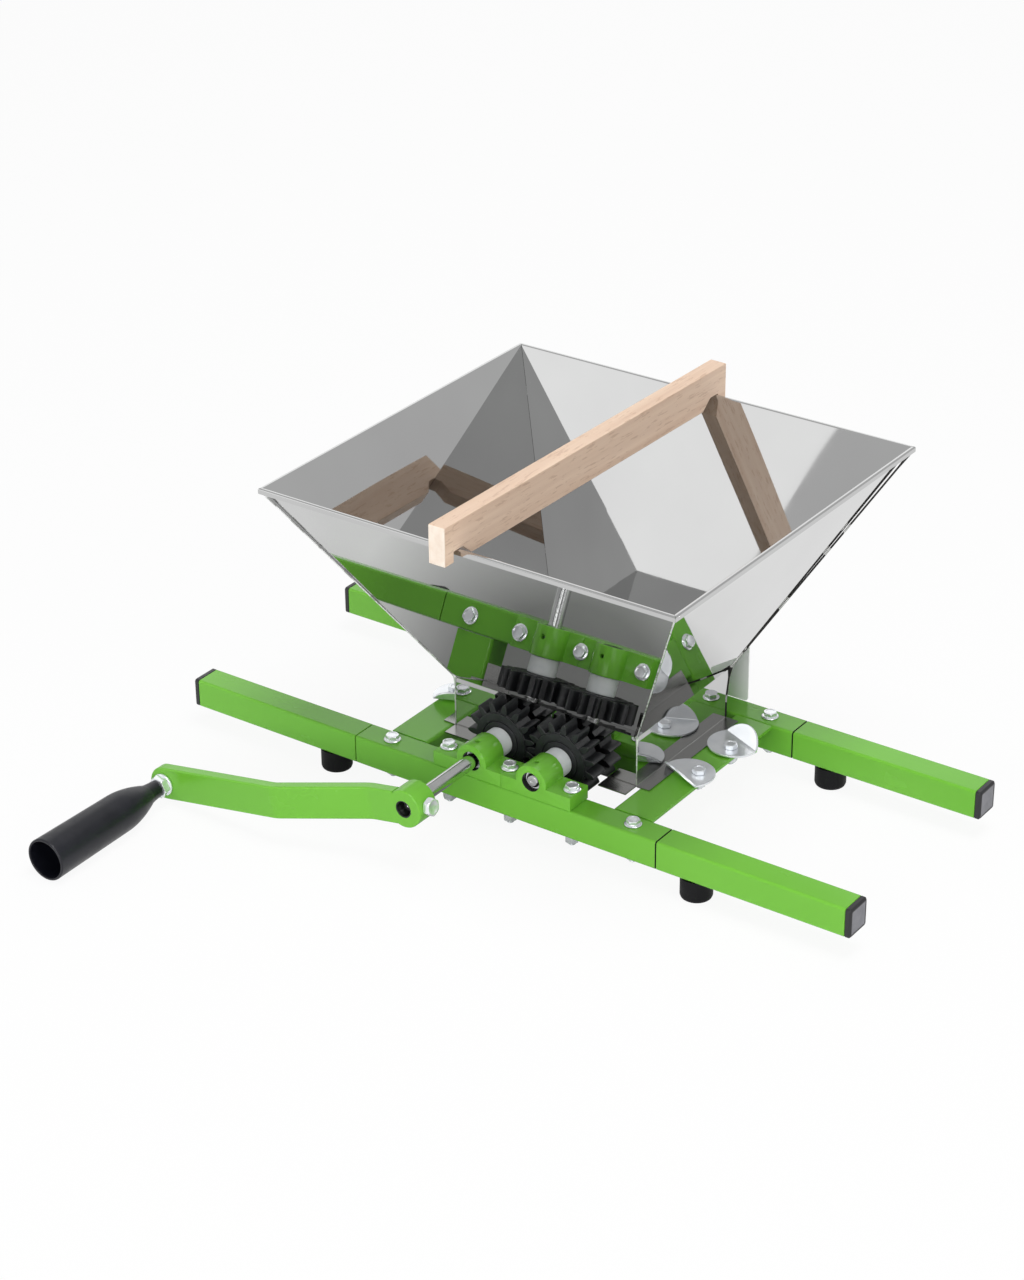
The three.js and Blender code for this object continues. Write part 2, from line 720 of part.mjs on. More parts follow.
function hopperFront() {
  const outward = rimPath(-skirtFrontY, -rimFrontY).map(([out, z]) => [-out, z]);
  const flangeTop = skirtBottom + sheet;
  const face = [[skirtFrontY - frontFlange, flangeTop], [skirtFrontY, flangeTop], ...outward];
  const folded = alongX(shapeOf(bentSheet(face, -sheet)), -rimHalfWidth - past, rimHalfWidth + past);
  const panel = common(folded, endWedge(frontCorner, -cornerShift, -past, aboveRim));
  const flangeFront = skirtFrontY - frontFlange - past;
  const tabInner = throatHalfWidth - frontFlangeTab;
  const flangeOver = flangeTop + gap;
  return cut(
    panel,
    block(-tabInner, tabInner, flangeFront, skirtFrontY, -past, flangeOver),
    block(throatHalfWidth, rimHalfWidth, flangeFront, skirtFrontY, -past, flangeOver),
    block(-rimHalfWidth, -throatHalfWidth, flangeFront, skirtFrontY, -past, flangeOver),
    ...shaftSlots(skirtFrontY - past, skirtFrontY + sheet + past),
  );
}

const betweenSkirts = throatHalfWidth - sheet - gap;
function hopperRear() {
  const face = [[skirtRearY, skirtBottom], [skirtRearY, rearLeanHeight], ...rimPath(rearFoldY, rimRearY)];
  const folded = alongX(shapeOf(bentSheet(face, sheet)), -rimHalfWidth - past, rimHalfWidth + past);
  const upper = common(folded, endWedge(rearCorner, cornerShift, foldHeight + gap, aboveRim));
  const lowerTop = foldHeight + 2 * sheet;
  const lower = common(folded, block(-betweenSkirts, betweenSkirts, 0, rearFoldY + beyond, -past, lowerTop));
  return cut(join(upper, lower), ...shaftSlots(skirtRearY - sheet - past, skirtRearY + past));
}

function hopperSide(toRight) {
  const flangeTop = skirtBottom + sheet;
  const face = [
    [throatHalfWidth + sideFlange, flangeTop], [throatHalfWidth, flangeTop],
    ...rimPath(throatHalfWidth, rimHalfWidth),
  ];
  const folded = alongY(shapeOf(bentSheet(face, sheet)), rimFrontY - past, rimRearY + past);
  const wedge = [frontCorner.outer, frontCorner.inner, rearCorner.inner, rearCorner.outer];
  const between = alongZ(shapeOf(wedge.map(({ x, y }) => [x, y])), foldHeight - sheet, aboveRim);
  const upper = common(folded, between.translate(cornerShift, 0, 0));
  const sideView = [
    [skirtFrontY - beyond, -past], [skirtRearY, -past], [skirtRearY, rearLeanHeight],
    [rearFoldY, foldHeight], [skirtFrontY - beyond, foldHeight],
  ];
  const plan = [
    [frontCorner.outer.x, frontCorner.outer.y], [frontCorner.inner.x, frontCorner.inner.y],
    [frontCorner.inner.x, rearFoldY + beyond], [rimHalfWidth, rearFoldY + beyond],
  ];
  const lower = common(
    folded,
    alongX(shapeOf(sideView), 0, rimHalfWidth),
    alongZ(shapeOf(plan), -past, foldHeight).translate(cornerShift, 0, 0),
  );
  const flangeCorner = block(
    throatHalfWidth + gap, rimHalfWidth, skirtFrontY - beyond, skirtFrontY, -past, flangeTop + gap,
  );
  const panel = cut(join(upper, lower), flangeCorner);
  if (toRight > 0) return panel;
  return mirroredInX(panel);
}

// The left-hand copy of a right-hand piece, with its faces turned round so that they still point out
function mirroredInX(geometry) {
  const mirrored = geometry.clone().scale(-1, 1, 1);
  const position = mirrored.attributes.position;
  const held = new THREE.Vector3();
  const other = new THREE.Vector3();
  for (let i = 0; i < position.count; i += 3) {
    held.fromBufferAttribute(position, i);
    other.fromBufferAttribute(position, i + 1);
    position.setXYZ(i, other.x, other.y, other.z);
    position.setXYZ(i + 1, held.x, held.y, held.z);
  }
  mirrored.computeVertexNormals();
  return mirrored;
}

add("hopper_front_panel", hopperFront(), stainless);
add("hopper_rear_panel", hopperRear(), stainless);
for (const [side, toRight] of sides) add(`hopper_${side}_panel`, hopperSide(toRight), stainless);

// Rear guard plate: stands on the rear rail behind the blocks and is folded along the rear panel's underside
function rearGuard() {
  const rise = rimHeight - sheet - foldHeight;
  const run = rimRearY - sheet - hemWidth - rearFoldY;
  const slope = Math.hypot(rise, run);
  const innerY = rearBlockRearY + gap;
  const bendZ = foldHeight + ((innerY - rearFoldY - (gap * slope) / rise) * rise) / run;
  const face = [
    [innerY, gap], [innerY, bendZ],
    [innerY + (guardFlange * run) / slope, bendZ + (guardFlange * rise) / slope],
  ];
  return alongX(shapeOf(bentSheet(face, -guardSheet)), -throatHalfWidth, throatHalfWidth);
}
add("rear_guard_plate", rearGuard(), stainless);

// Deflectors: fill the throat beside each roller, sloping from the side skirt to the roller's flank
function deflector(toRight) {
  const top = throatHalfWidth - sheet - gap;
  const face = [[top, deflectorTop], [rollerReach, deflectorKnee], [rollerReach, deflectorFoot]];
  const section = bentSheet(face, sheet).map(([x, z]) => [toRight * Math.min(x, top), z]);
  return alongY(shapeOf(section), skirtFrontY + sheet + gap, skirtRearY - sheet - gap);
}
for (const [side, toRight] of sides) add(`${side}_deflector`, deflector(toRight), stainless);

// Clamp plates: a disc folded up along a chord, turning on an off-centre bolt. The disc's centre is at
// the origin before it is set on its bolt, and the flat part lies towards +Y.
function clampPlate(toRight) {
  const chord = Math.sqrt(clampRadius ** 2 - clampFold ** 2);
  const low = Math.atan2(-clampFold, chord);
  const flat = alongZ(shapeOf(circle(clampRadius, shaftSteps, 0, 0, low, Math.PI - low)), 0, clampSheet);
  const flapOutline = circle(clampRadius, boltSteps, 0, clampFold, low, -Math.PI - low);
  const flap = alongZ(shapeOf(flapOutline), 0, clampSheet).rotateX(-clampFlapAngle);
  const holeCircle = circle(boltHole, boltSteps, toRight * clampBoltAlong, clampBoltAcross);
  const hole = alongZ(shapeOf(holeCircle), -past, clampSheet + past);
  const folded = join(flat, flap.translate(0, -clampFold, 0));
  return cut(folded, hole).translate(-toRight * clampBoltAlong, -clampBoltAcross, 0);
}

// Clamp bolt: a washer stands on the cross-member, the plate turns on the shank, and the nut is below
const clampBottom = skirtBottom + sheet + gap;
const clampTop = clampBottom + clampSheet;
function clampBolt() {
  const underside = -crossMemberSheet - gap;
  const shankEnd = underside - nutHeight - boltEndHeight;
  const headFrom = clampTop + gap;
  return join(
    alongZ(shapeOf(circle(boltRadius, boltSteps)), shankEnd, headFrom + clampBoltHead / 2),
    alongZ(shapeOf(circle(boltFlangeRadius, boltSteps)), gap, clampBottom - gap),
    alongZ(shapeOf(hexagon(boltAcrossFlats)), headFrom, headFrom + clampBoltHead),
    alongZ(shapeOf(hexagon(boltAcrossFlats)), underside - nutHeight, underside),
  );
}

for (const { end, toRear, side, toRight } of corners) {
  const place = [toRight * clampBoltX, toRear < 0 ? frontClampPlace : rearClampPlace];
  const handed = -toRear * toRight;
  const plate = add(`${end}_${side}_clamp`, clampPlate(handed), zinc, [...place, clampBottom]);
  plate.rotation.z = -toRight * clampTurn + (toRear < 0 ? 0 : Math.PI);
  add(`${end}_${side}_clamp_bolt`, clampBolt(), zinc, [...place, 0]);
}

// Wooden bar: notched over the rim at both ends, with a bevel inside each notch
function woodenBar() {
  const half = barLength / 2;
  const notchTop = rimHeight + gap;
  const bottom = notchTop - barLegDepth;
  const right = [
    [half - barLeg - barNotch - barBevel, bottom], [half - barLeg - barNotch, notchTop],
    [half - barLeg, notchTop], [half - barLeg, bottom], [half, bottom], [half, barTop],
  ];
  const left = right.map(([y, z]) => [-y, z]).reverse();
  return alongX(shapeOf([...right, ...left]), -barWidth / 2, barWidth / 2);
}
const barY = (rimFrontY + rimRearY) / 2 + barShiftY;
const bar = add("wooden_bar", woodenBar(), beech, [barShiftX, barY, 0]);
bar.rotation.z = -barTurn;

// The origin is on the ground, below the middle of the machine's length and depth
const barRearY = barY + (barLength / 2) * Math.cos(barTurn) + (barWidth / 2) * Math.sin(barTurn);
machine.position.set(0, -(barRearY + gripFrontY) / 2, -ground);

const scratter = new THREE.Group();
scratter.add(machine);
export default scratter;
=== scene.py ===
import math

import bmesh
import bpy
import numpy as np
from mathutils import Euler, Matrix, Vector


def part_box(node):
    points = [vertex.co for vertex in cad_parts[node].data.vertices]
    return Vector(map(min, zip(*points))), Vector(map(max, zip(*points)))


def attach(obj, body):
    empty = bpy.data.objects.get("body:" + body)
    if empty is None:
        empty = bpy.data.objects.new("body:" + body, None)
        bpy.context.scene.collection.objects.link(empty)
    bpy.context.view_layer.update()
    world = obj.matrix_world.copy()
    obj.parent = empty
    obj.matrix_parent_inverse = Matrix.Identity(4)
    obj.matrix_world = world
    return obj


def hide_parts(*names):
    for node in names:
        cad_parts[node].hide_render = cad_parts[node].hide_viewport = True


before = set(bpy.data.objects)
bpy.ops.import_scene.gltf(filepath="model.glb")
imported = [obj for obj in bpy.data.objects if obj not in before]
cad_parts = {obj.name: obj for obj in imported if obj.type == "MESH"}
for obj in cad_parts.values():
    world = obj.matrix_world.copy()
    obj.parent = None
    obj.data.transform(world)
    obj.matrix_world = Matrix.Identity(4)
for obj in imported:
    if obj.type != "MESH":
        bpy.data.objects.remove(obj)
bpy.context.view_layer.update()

# A hand-cranked apple scratter. Shapes are worked out in millimetres from the rail tops (z = 0) and
# the frame's middle (y = 0), with x to the right and y to the rear, and are set in metres at the end.
rail_low, rail_high = (np.array(corner) * 1000 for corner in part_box("front_rail"))
_, rear_high = (np.array(corner) * 1000 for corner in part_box("rear_rail"))
ORIGIN = np.array([0, (rail_low[1] + rear_high[1]) / 2, rail_high[2]])

# Frame. GAP lies between pieces that meet, and SHADOW widens it at the rails' joints.
GAP = 0.3
SHADOW = 0.25
TUBE = 25
TUBE_WALL = 2.2
TUBE_CORNER = 2.2
RAIL_Y = 102.6
RAIL_INNER = RAIL_Y - TUBE / 2
SEAM_X = 145.1
CAP_X = 311.7
FOOT_X = 175.1
FOOT_R = 13
FOOT_HEIGHT = 18.2
GROUND = -43.5
CROSS_INNER = 90
CROSS_OUTER = 126
CROSS_SHEET = 3
FRAME_BOLT_X = 116.5

# Shafts, bearings, gears and rollers
SHAFT_X = 28.7
SHAFT_Z = 14.5
SHAFT_R = 6
BORE_R = SHAFT_R + GAP
SHAFT_RECESS = 1.6
SHAFT_IN_HUB = 6.5
BLOCK_Y = {"front": -102.6, "rear": 100.9}
EAR_TOP = 12
EAR_BOLT_X = 59.5
SLEEVE_R = 7.9
COLLAR_R = 12
COLLAR = {"front": 14.5, "rear": 6.63}
GEAR_FRONT = -75
GEAR_WIDTH = 17.5
GEAR_TEETH = 15
ROOT_R = 24.2
TOOTH_HEIGHT = 8.7
TOOTH_HALF = 2.9
ROLLER_R = 26
ROLLER_WAVE = 1.5
ROLLER_RIBS = 10
ROLLER_END_GAP = 1.8

# Hopper
SHEET = 1
SKIRT_FRONT = -54.3
SKIRT_REAR = 79.43
LEAN_Z = 19
FOLD_REAR = 84.53
FOLD_Z = 45
THROAT = 88
WITHIN = THROAT - SHEET - GAP
RIM_X = 191.5
RIM_FRONT = -166.5
RIM_REAR = 188.03
RIM_Z = 230
HEM = 1.6
HEM_DROP = 3.5
FRONT_FLANGE = 15.5
SIDE_FLANGE = 12
SLOT_R = 8.76
SEAM_GAP = 0.2
FRONT_SLOPE = (RIM_X - THROAT) / (SKIRT_FRONT - RIM_FRONT)
REAR_SLOPE = (RIM_X - THROAT) / (RIM_REAR - FOLD_REAR)
GUARD_Y = 113.7
GUARD_SHEET = 1.2
DEFLECTOR_X = 57.2
DEFLECTOR_FRONT = -53
DEFLECTOR_LENGTH = 131.1

# Clamps, crank, grip and bar
CLAMP_X = 119.5
CLAMP_Y = {"front": -12, "rear": 36}
CLAMP_R = 22
CLAMP_SHEET = 1.8
CLAMP_ASIDE = 5
CLAMP_AHEAD = 7
CLAMP_TURN = math.radians(24)
HUB_FRONT = -204.3
HUB_REAR = -182.8
HUB_R = 16
ARM_FRONT = -228.9
ARM_THICK = 10
ARM_HALF = 14
CRANK_R = 228
GRIP_REAR = -238.6
GRIP_LENGTH = 131
GRIP_MOUTH_R = 17.9
CRANK_ANGLE = math.asin((SHAFT_Z - GROUND - GRIP_MOUTH_R) / CRANK_R)
BAR_Y = (RIM_FRONT + RIM_REAR) / 2 - 1.75
BAR_HALF = (RIM_REAR - RIM_FRONT) / 2 + 14
BAR_X = -4.2
BAR_TURN = math.radians(-1.15)
BAR_WIDTH = 15
BAR_TOP = 253.6

# The four corners of the machine, each with its names and its signs along y and x
SIGN = {"left": -1, "right": 1, "front": -1, "rear": 1}
CORNERS = [(end, side, SIGN[end], SIGN[side]) for end in ("front", "rear") for side in ("left", "right")]


# Grids and shells. A shell is a pair: its points, and its faces as lists of point numbers.
def unit(vectors):
    """Vectors along the last axis, each divided by its length."""
    return vectors / (np.linalg.norm(vectors, axis=-1, keepdims=True) + 1e-12)


def circle(steps):
    """Angles evenly round a circle."""
    return np.arange(steps) * 2 * np.pi / steps


def grid_of(x, y, z):
    """Points from coordinates that are first spread to one shape."""
    return np.stack(np.broadcast_arrays(x, y, z), -1)


def round_ends(low, high, edge, steps):
    """Places from low to high, and how far a shape is drawn in there, with a quarter circle at each
    end: for angles a it is drawn in by edge (1 - sin a) at edge (1 - cos a) from the end."""
    a = np.linspace(0, np.pi / 2, steps + 1)
    rise, inset = edge * (1 - np.cos(a)), edge * (1 - np.sin(a))
    return np.concatenate([low + rise, high - rise[::-1]]), np.concatenate([inset, inset[::-1]])


def skin(grid, round_rows=False, round_columns=False):
    """Quads between neighbouring points of a grid, whose rows and columns may close on themselves."""
    number = np.arange(grid[..., 0].size).reshape(grid.shape[:2])
    if round_rows:
        number = np.vstack([number, number[:1]])
    if round_columns:
        number = np.hstack([number, number[:, :1]])
    corners = [number[:-1, :-1], number[:-1, 1:], number[1:, 1:], number[1:, :-1]]
    return grid.reshape(-1, 3), np.stack(corners, -1).reshape(-1, 4).tolist()


def capped(grid):
    """The skin of a grid whose rows are rings, with a face over its first and its last ring."""
    points, faces = skin(grid, False, True)
    number = np.arange(len(points)).reshape(grid.shape[:2])
    return points, faces + number[[0, -1]].tolist()


def joined(*shells):
    """Several shells as one, with each shell's point numbers moved up."""
    points, faces = [], []
    for own_points, own_faces in shells:
        faces += [[number + len(points) for number in face] for face in own_faces]
        points.extend(own_points)
    return np.array(points), faces


def placed(shell, at=(0, 0, 0), turn=(0, 0, 0), flip_x=False):
    """The shell turned about x, y and z in that order, then moved. It can be mirrored in x first."""
    points = shell[0] * ([-1, 1, 1] if flip_x else [1, 1, 1])
    return points @ np.array(Euler(turn).to_matrix()).T + np.array(at), shell[1]


def rounded(points, radius, steps=4, closed=False):
    """A path with arcs in its corners. An arc touches both edges at radius / tan(half the angle) from
    the corner, and its centre is on the corner's bisector."""
    path = np.asarray(points, float)
    corner = path if closed else path[1:-1]
    before = unit((np.roll(path, 1, 0) if closed else path[:-2]) - corner)
    after = unit((np.roll(path, -1, 0) if closed else path[2:]) - corner)
    half = np.arccos(np.clip((before * after).sum(1), -1, 1)) / 2
    radius = np.ones(len(half)) * radius
    centre = corner + unit(before + after) * (radius / np.sin(half))[:, None]
    reach = (radius / np.tan(half))[:, None]
    start, end = corner + before * reach - centre, corner + after * reach - centre
    sweep = np.arctan2(start[:, 0] * end[:, 1] - start[:, 1] * end[:, 0], (start * end).sum(1))
    angle = sweep[:, None] * np.linspace(0, 1, steps + 1)
    c, s = np.cos(angle), np.sin(angle)
    x = centre[:, :1] + start[:, :1] * c - start[:, 1:] * s
    y = centre[:, 1:] + start[:, :1] * s + start[:, 1:] * c
    arcs = np.stack([x, y], -1).reshape(-1, 2)
    return arcs if closed else np.concatenate([path[:1], arcs, path[-1:]])


def offset(path, distance, closed=False):
    """A path moved to the right of its direction: each point goes along the mean of its two edges'
    normals, lengthened so that the edges keep the distance."""
    edge = unit(np.roll(path, -1, 0) - path)
    before, after = np.roll(edge, 1, 0), edge.copy()
    if not closed:
        before[0], after[-1] = edge[0], edge[-2]
    scale = distance / (1 + (before * after).sum(1))
    total = before + after
    return path + np.stack([total[:, 1], -total[:, 0]], -1) * scale[:, None]


def turned(profile, closed=False):
    """A surface of revolution on the y axis: (radius, y) pairs, the radius times the cosine and sine
    of the angle in x and z. A closed profile has a bore, and an open one is capped at both ends."""
    r, h = np.asarray(profile, float).T[..., None]
    angle = circle(64)
    grid = grid_of(r * np.cos(angle), h, r * np.sin(angle))
    return skin(grid, True, True) if closed else capped(grid)


def swapped(shell, *order):
    """A shell with its coordinates in another order."""
    return shell[0][:, order], shell[1]


def hexed(rows, turn=0):
    """A hexagon head or nut on the z axis from rows of (half across flats, round limit, z): the radius
    is half the flats over the cosine of the angle from the nearest flat, cut off at the round limit.
    A row of two values is round, with its radius and z."""
    far = 99
    rows = [(far, *row) if len(row) == 2 else row for row in rows]
    flats, limit, z = (np.asarray(value, float)[:, None] for value in zip(*rows))
    angle = circle(72)
    nearest = np.mod(angle + np.pi / 6, np.pi / 3) - np.pi / 6
    r = np.minimum(flats / np.cos(nearest), limit)
    return capped(grid_of(r * np.cos(angle + turn), r * np.sin(angle + turn), z))


def extruded(outline, low, high, edge, steps=3):
    """An outline in x and z, given counter-clockwise, carried along y with rounded end edges."""
    y, inset = round_ends(low, high, edge, steps)
    rings = np.stack([offset(outline, -d, closed=True) for d in inset])
    return capped(grid_of(rings[..., 0], y[:, None], rings[..., 1]))


def piping(path, radius, across):
    """A round bead along a path in space, with a radius for each point: the point's ring is square to
    the path's mean direction there, with one axis square to across."""
    step = unit(np.diff(path, axis=0))
    along = unit(np.concatenate([step[:1], step[:-1] + step[1:], step[-1:]]))
    first = unit(np.cross(along, across))
    second = np.cross(along, first)
    angle = circle(12)[:, None]
    ring = first[:, None, :] * np.cos(angle) + second[:, None, :] * np.sin(angle)
    return capped(path[:, None, :] + radius[:, None, None] * ring)


def strip(ends, widths, thick):
    """A flat strip between two points, with a width vector at each and a chamfered far edge."""
    rows = []
    for point, wide in zip(ends, widths):
        shoulder, edge = point + wide * 0.9, point + wide
        chamfer = edge + thick * 0.25, edge + thick * 0.75
        rows.append([point, shoulder, *chamfer, shoulder + thick, point + thick])
    return capped(np.array(rows))


def square_rings(x, inset, corner):
    """Rings about the x axis that follow the tube's rounded square, each with its inset and corner."""
    square = np.array([[1, 1], [-1, 1], [-1, -1], [1, -1]])
    rings = np.stack([rounded(square * (TUBE / 2 - d), r, closed=True) for d, r in zip(inset, corner)])
    return grid_of(x[:, None], rings[..., 0], rings[..., 1])


# Finishes
def group(name, **inputs):
    """An empty shader node group: inputs from Vector to High, numbers or vectors, and one output."""
    tree = bpy.data.node_groups.new(name, "ShaderNodeTree")
    for label, value in {"Vector": (0, 0, 0), **inputs, "Low": 0, "High": 1}.items():
        kind = "NodeSocketVector" if isinstance(value, tuple) else "NodeSocketFloat"
        tree.interface.new_socket(label, in_out="INPUT", socket_type=kind).default_value = value
    tree.interface.new_socket("Value", in_out="OUTPUT", socket_type="NodeSocketFloat")
    tree.nodes.new("NodeGroupInput").name = "in"
    tree.nodes.new("NodeGroupOutput").name = "out"
    return tree


def node(tree, kind, inputs=(), **settings):
    """A node with its settings and its inputs, each a plain value or another node's output."""
    made = tree.nodes.new("ShaderNode" + kind)
    for key, value in settings.items():
        setattr(made, key, value)
    for key, value in dict(inputs).items():
        if isinstance(value, bpy.types.NodeSocket):
            tree.links.new(value, made.inputs[key])
        else:
            made.inputs[key].default_value = value
    return made


def compute(tree, operation, first, second=0):
    """The outcome of a math node on two values or outputs."""
    return node(tree, "Math", {0: first, 1: second}, operation=operation).outputs[0]


def spread(tree, noise, low, high):
    """Ends a group: the noise's range from low to high becomes the range from Low to High."""
    into = tree.nodes["in"].outputs
    made = node(tree, "MapRange", {"Value": noise.outputs[0], "From Min": low, "From Max": high,
                                   "To Min": into["Low"], "To Max": into["High"]})
    tree.links.new(made.outputs[0], tree.nodes["out"].inputs["Value"])
    return tree


def patches_group():
    """Soft patches: noise at a scale, spread between Low and High."""
    tree = group("patches", Scale=40, Detail=3)
    into = tree.nodes["in"].outputs
    noise = node(tree, "TexNoise", {key: into[key] for key in ("Vector", "Scale", "Detail")})
    return spread(tree, noise, 0.3, 0.7)


def streaks_group():
    """Fine streaks: noise on coordinates stretched by Stretch, for brushed and turned metal."""
    tree = group("streaks", Stretch=(1, 1, 1), Scale=400)
    into = tree.nodes["in"].outputs
    stretched = node(tree, "VectorMath", {0: into["Vector"], 1: into["Stretch"]}, operation="MULTIPLY")
    noise = node(tree, "TexNoise", {"Vector": stretched.outputs[0], "Scale": into["Scale"], "Detail": 4,
                                    "Roughness": 0.6})
    return spread(tree, noise, 0.25, 0.75)


PATCHES = patches_group()
STREAKS = streaks_group()


class Finish:
    """A look: a slot's name and a material with one Principled shader. Its patterns lie on Object
    coordinates, and its plain colour and roughness stand in where they aren't read."""

    def __init__(self, name, slot, colour, roughness, metallic=0, **constants):
        self.slot = slot
        self.material = bpy.data.materials.new(name)
        self.material.use_nodes = True
        self.tree = self.material.node_tree
        self.shader = self.tree.nodes["Principled BSDF"]
        self.place = node(self.tree, "TexCoord").outputs["Object"]
        self.x, self.y, self.z = node(self.tree, "SeparateXYZ", {0: self.place}).outputs
        plain = {"Base Color": (*colour, 1), "Roughness": roughness, "Metallic": metallic, **constants}
        for key, value in plain.items():
            self.shader.inputs[key.replace("_", " ")].default_value = value

    def patches(self, **values):
        return node(self.tree, "Group", {"Vector": self.place, **values}, node_tree=PATCHES).outputs[0]

    def streaks(self, *stretch, **values):
        inputs = {"Vector": self.place, "Stretch": stretch, **values}
        return node(self.tree, "Group", inputs, node_tree=STREAKS).outputs[0]

    def mix(self, share, first, second):
        """A colour that runs from first to second as share goes from 0 to 1."""
        ends = [end if isinstance(end, bpy.types.NodeSocket) else (*end, 1) for end in (first, second)]
        return node(self.tree, "Mix", {0: share, 6: ends[0], 7: ends[1]}, data_type="RGBA").outputs[2]

    def math(self, operation, first, second=0):
        return compute(self.tree, operation, first, second)

    def apart(self, value, middle):
        """How far a coordinate in metres lies from a middle in millimetres, either way."""
        return self.math("ABSOLUTE", self.math("SUBTRACT", value, middle / 1000))

    def off_rail(self):
        """How far a point lies from the nearer rail's axis, along y."""
        return self.apart(self.apart(self.y, ORIGIN[1]), RAIL_Y)

    def feed(self, socket, value):
        self.tree.links.new(value, self.shader.inputs[socket])

    def tones(self, scale, dark, pale):
        """A base colour in patches between two tones."""
        self.feed("Base Color", self.mix(self.patches(Scale=scale), dark, pale))

    def gloss(self, scale, low, high):
        """A roughness in patches between two values."""
        self.feed("Roughness", self.patches(Scale=scale, Low=low, High=high))

    def bump(self, height, strength, distance=0.001):
        made = node(self.tree, "Bump", {"Height": height, "Strength": strength, "Distance": distance})
        self.feed("Normal", made.outputs[0])


def green_enamel():
    """Glossy green enamel: a soft change of shade, and a faint orange-peel skin. The shafts' bores, out
    to 7.3 mm from the axis in the crank's hub and 8.2 mm in the blocks, are painted near black: partly
    unpainted greasy metal, partly painted shade in the recess. The tubes' ends, for 0.55 mm each way
    at the rails' joints, are painted near black as painted shade in the joints' gaps."""
    made = Finish("green_enamel", "green_paint", (0.13, 0.44, 0.03), 0.25, Coat_Weight=0.12,
                  Coat_Roughness=0.06, Specular_IOR_Level=0.3)
    shade = made.patches(Scale=9)
    painted = made.mix(shade, (0.155, 0.48, 0.036), (0.175, 0.51, 0.045))
    folded = node(made.tree, "VectorMath", {0: made.place}, operation="ABSOLUTE").outputs[0]
    flat = node(made.tree, "VectorMath", {0: folded, 1: (1, 0, 1)}, operation="MULTIPLY").outputs[0]
    axis = (SHAFT_X / 1000, 0, (SHAFT_Z + ORIGIN[2]) / 1000)
    radius = node(made.tree, "VectorMath", {0: flat, 1: axis}, operation="DISTANCE").outputs["Value"]
    block = made.math("GREATER_THAN", made.y, (ORIGIN[1] - 150) / 1000)
    limit = made.math("ADD", made.math("MULTIPLY", block, 0.0009), 0.0073)
    bore = made.math("LESS_THAN", radius, limit)
    tube = made.math("LESS_THAN", made.off_rail(), 0.0135)
    end = made.math("LESS_THAN", made.apart(made.math("ABSOLUTE", made.x), SEAM_X), 0.00055)
    # Painted shade: near black in the shafts' bores, over unpainted greasy metal, and in the gaps at the
    # rails' joints
    bare_and_painted_shade = made.math("MAXIMUM", bore, made.math("MULTIPLY", tube, end))
    made.feed("Base Color", made.mix(bare_and_painted_shade, painted, (0.012, 0.014, 0.012)))
    made.gloss(25, 0.2, 0.28)
    made.bump(made.patches(Scale=300, Detail=1), 0.012)
    return made


def mirror_steel(name, colour, clear, hazy):
    """Polished stainless sheet: slight waves in the sheet, and soft polishing streaks whose roughness
    runs from clear to hazy. The flanges on the frame, up to 2 mm over the rails, are left dull."""
    made = Finish(name, "polished_steel", (colour, colour * 1.005, colour), 0.03, 1)
    flange = made.math("LESS_THAN", made.z, (2 - GROUND) / 1000)
    haze = made.streaks(1, 1, 0.06, Scale=60, Low=clear, High=hazy)
    made.feed("Roughness", made.math("MAXIMUM", haze, made.math("MULTIPLY", flange, 0.25)))
    tone = made.patches(Scale=9)
    pale = (colour * 1.03, colour * 1.035, colour * 1.03)
    polished = made.mix(tone, (colour * 0.97,) * 3, pale)
    made.feed("Base Color", made.mix(flange, polished, (0.34, 0.338, 0.33)))
    made.bump(made.patches(Scale=7, Detail=0.5), 0.02, 0.01)
    return made


def dull_steel():
    """Unpolished stainless sheet: a milky, faintly rolled surface."""
    made = Finish("dull_steel", "polished_steel", (0.93, 0.935, 0.94), 0.5)
    made.tones(12, (0.9, 0.905, 0.91), (0.96, 0.965, 0.97))
    made.feed("Roughness", made.streaks(1, 1, 0.05, Scale=200, Low=0.4, High=0.55))
    made.bump(made.streaks(1, 1, 0.05, Scale=300), 0.03, 0.0004)
    return made


def seam_bead(name, dark, pale, share):
    """A seam bead: its tone jumps between dark and pale, and share widens the pale. A near-black dark is
    painted shadow of the gap between two sheets.
    """
    made = Finish(name, "polished_steel", dark, 0.3, 0.6)
    spots = made.patches(Scale=55, Detail=2)
    made.feed("Base Color", made.mix(made.math("GREATER_THAN", spots, 1 - share), dark, pale))
    made.gloss(150, 0.2, 0.4)
    made.bump(made.patches(Scale=260), 0.2, 0.0005)
    return made


def zinc_plate():
    """Bright zinc plating: a patchy grey with a fine grain and uneven gloss."""
    made = Finish("zinc_plate", "zinc", (0.86, 0.88, 0.91), 0.2, 0.7)
    made.tones(60, (0.8, 0.83, 0.87), (0.93, 0.95, 0.97))
    made.gloss(110, 0.13, 0.25)
    made.bump(made.patches(Scale=500, Detail=1), 0.03, 0.0003)
    return made


def turned_steel():
    """Ground shaft steel: fine marks round the shaft, which lies along y."""
    made = Finish("turned_steel", "shaft_steel", (0.6, 0.61, 0.61), 0.2, 1)
    made.tones(70, (0.55, 0.56, 0.56), (0.66, 0.665, 0.66))
    made.feed("Roughness", made.streaks(0.05, 1, 0.05, Scale=900, Low=0.08, High=0.2))
    made.bump(made.streaks(0.05, 1, 0.05, Scale=1400), 0.1, 0.0003)
    return made


def cast_aluminium():
    """Rough cast aluminium: a patchy grey with a coarse grain."""
    made = Finish("cast_aluminium", "cast_aluminium", (0.6, 0.61, 0.62), 0.42, 1)
    made.tones(90, (0.5, 0.51, 0.52), (0.68, 0.69, 0.7))
    made.gloss(240, 0.34, 0.52)
    made.bump(made.patches(Scale=700), 0.25, 0.0006)
    return made


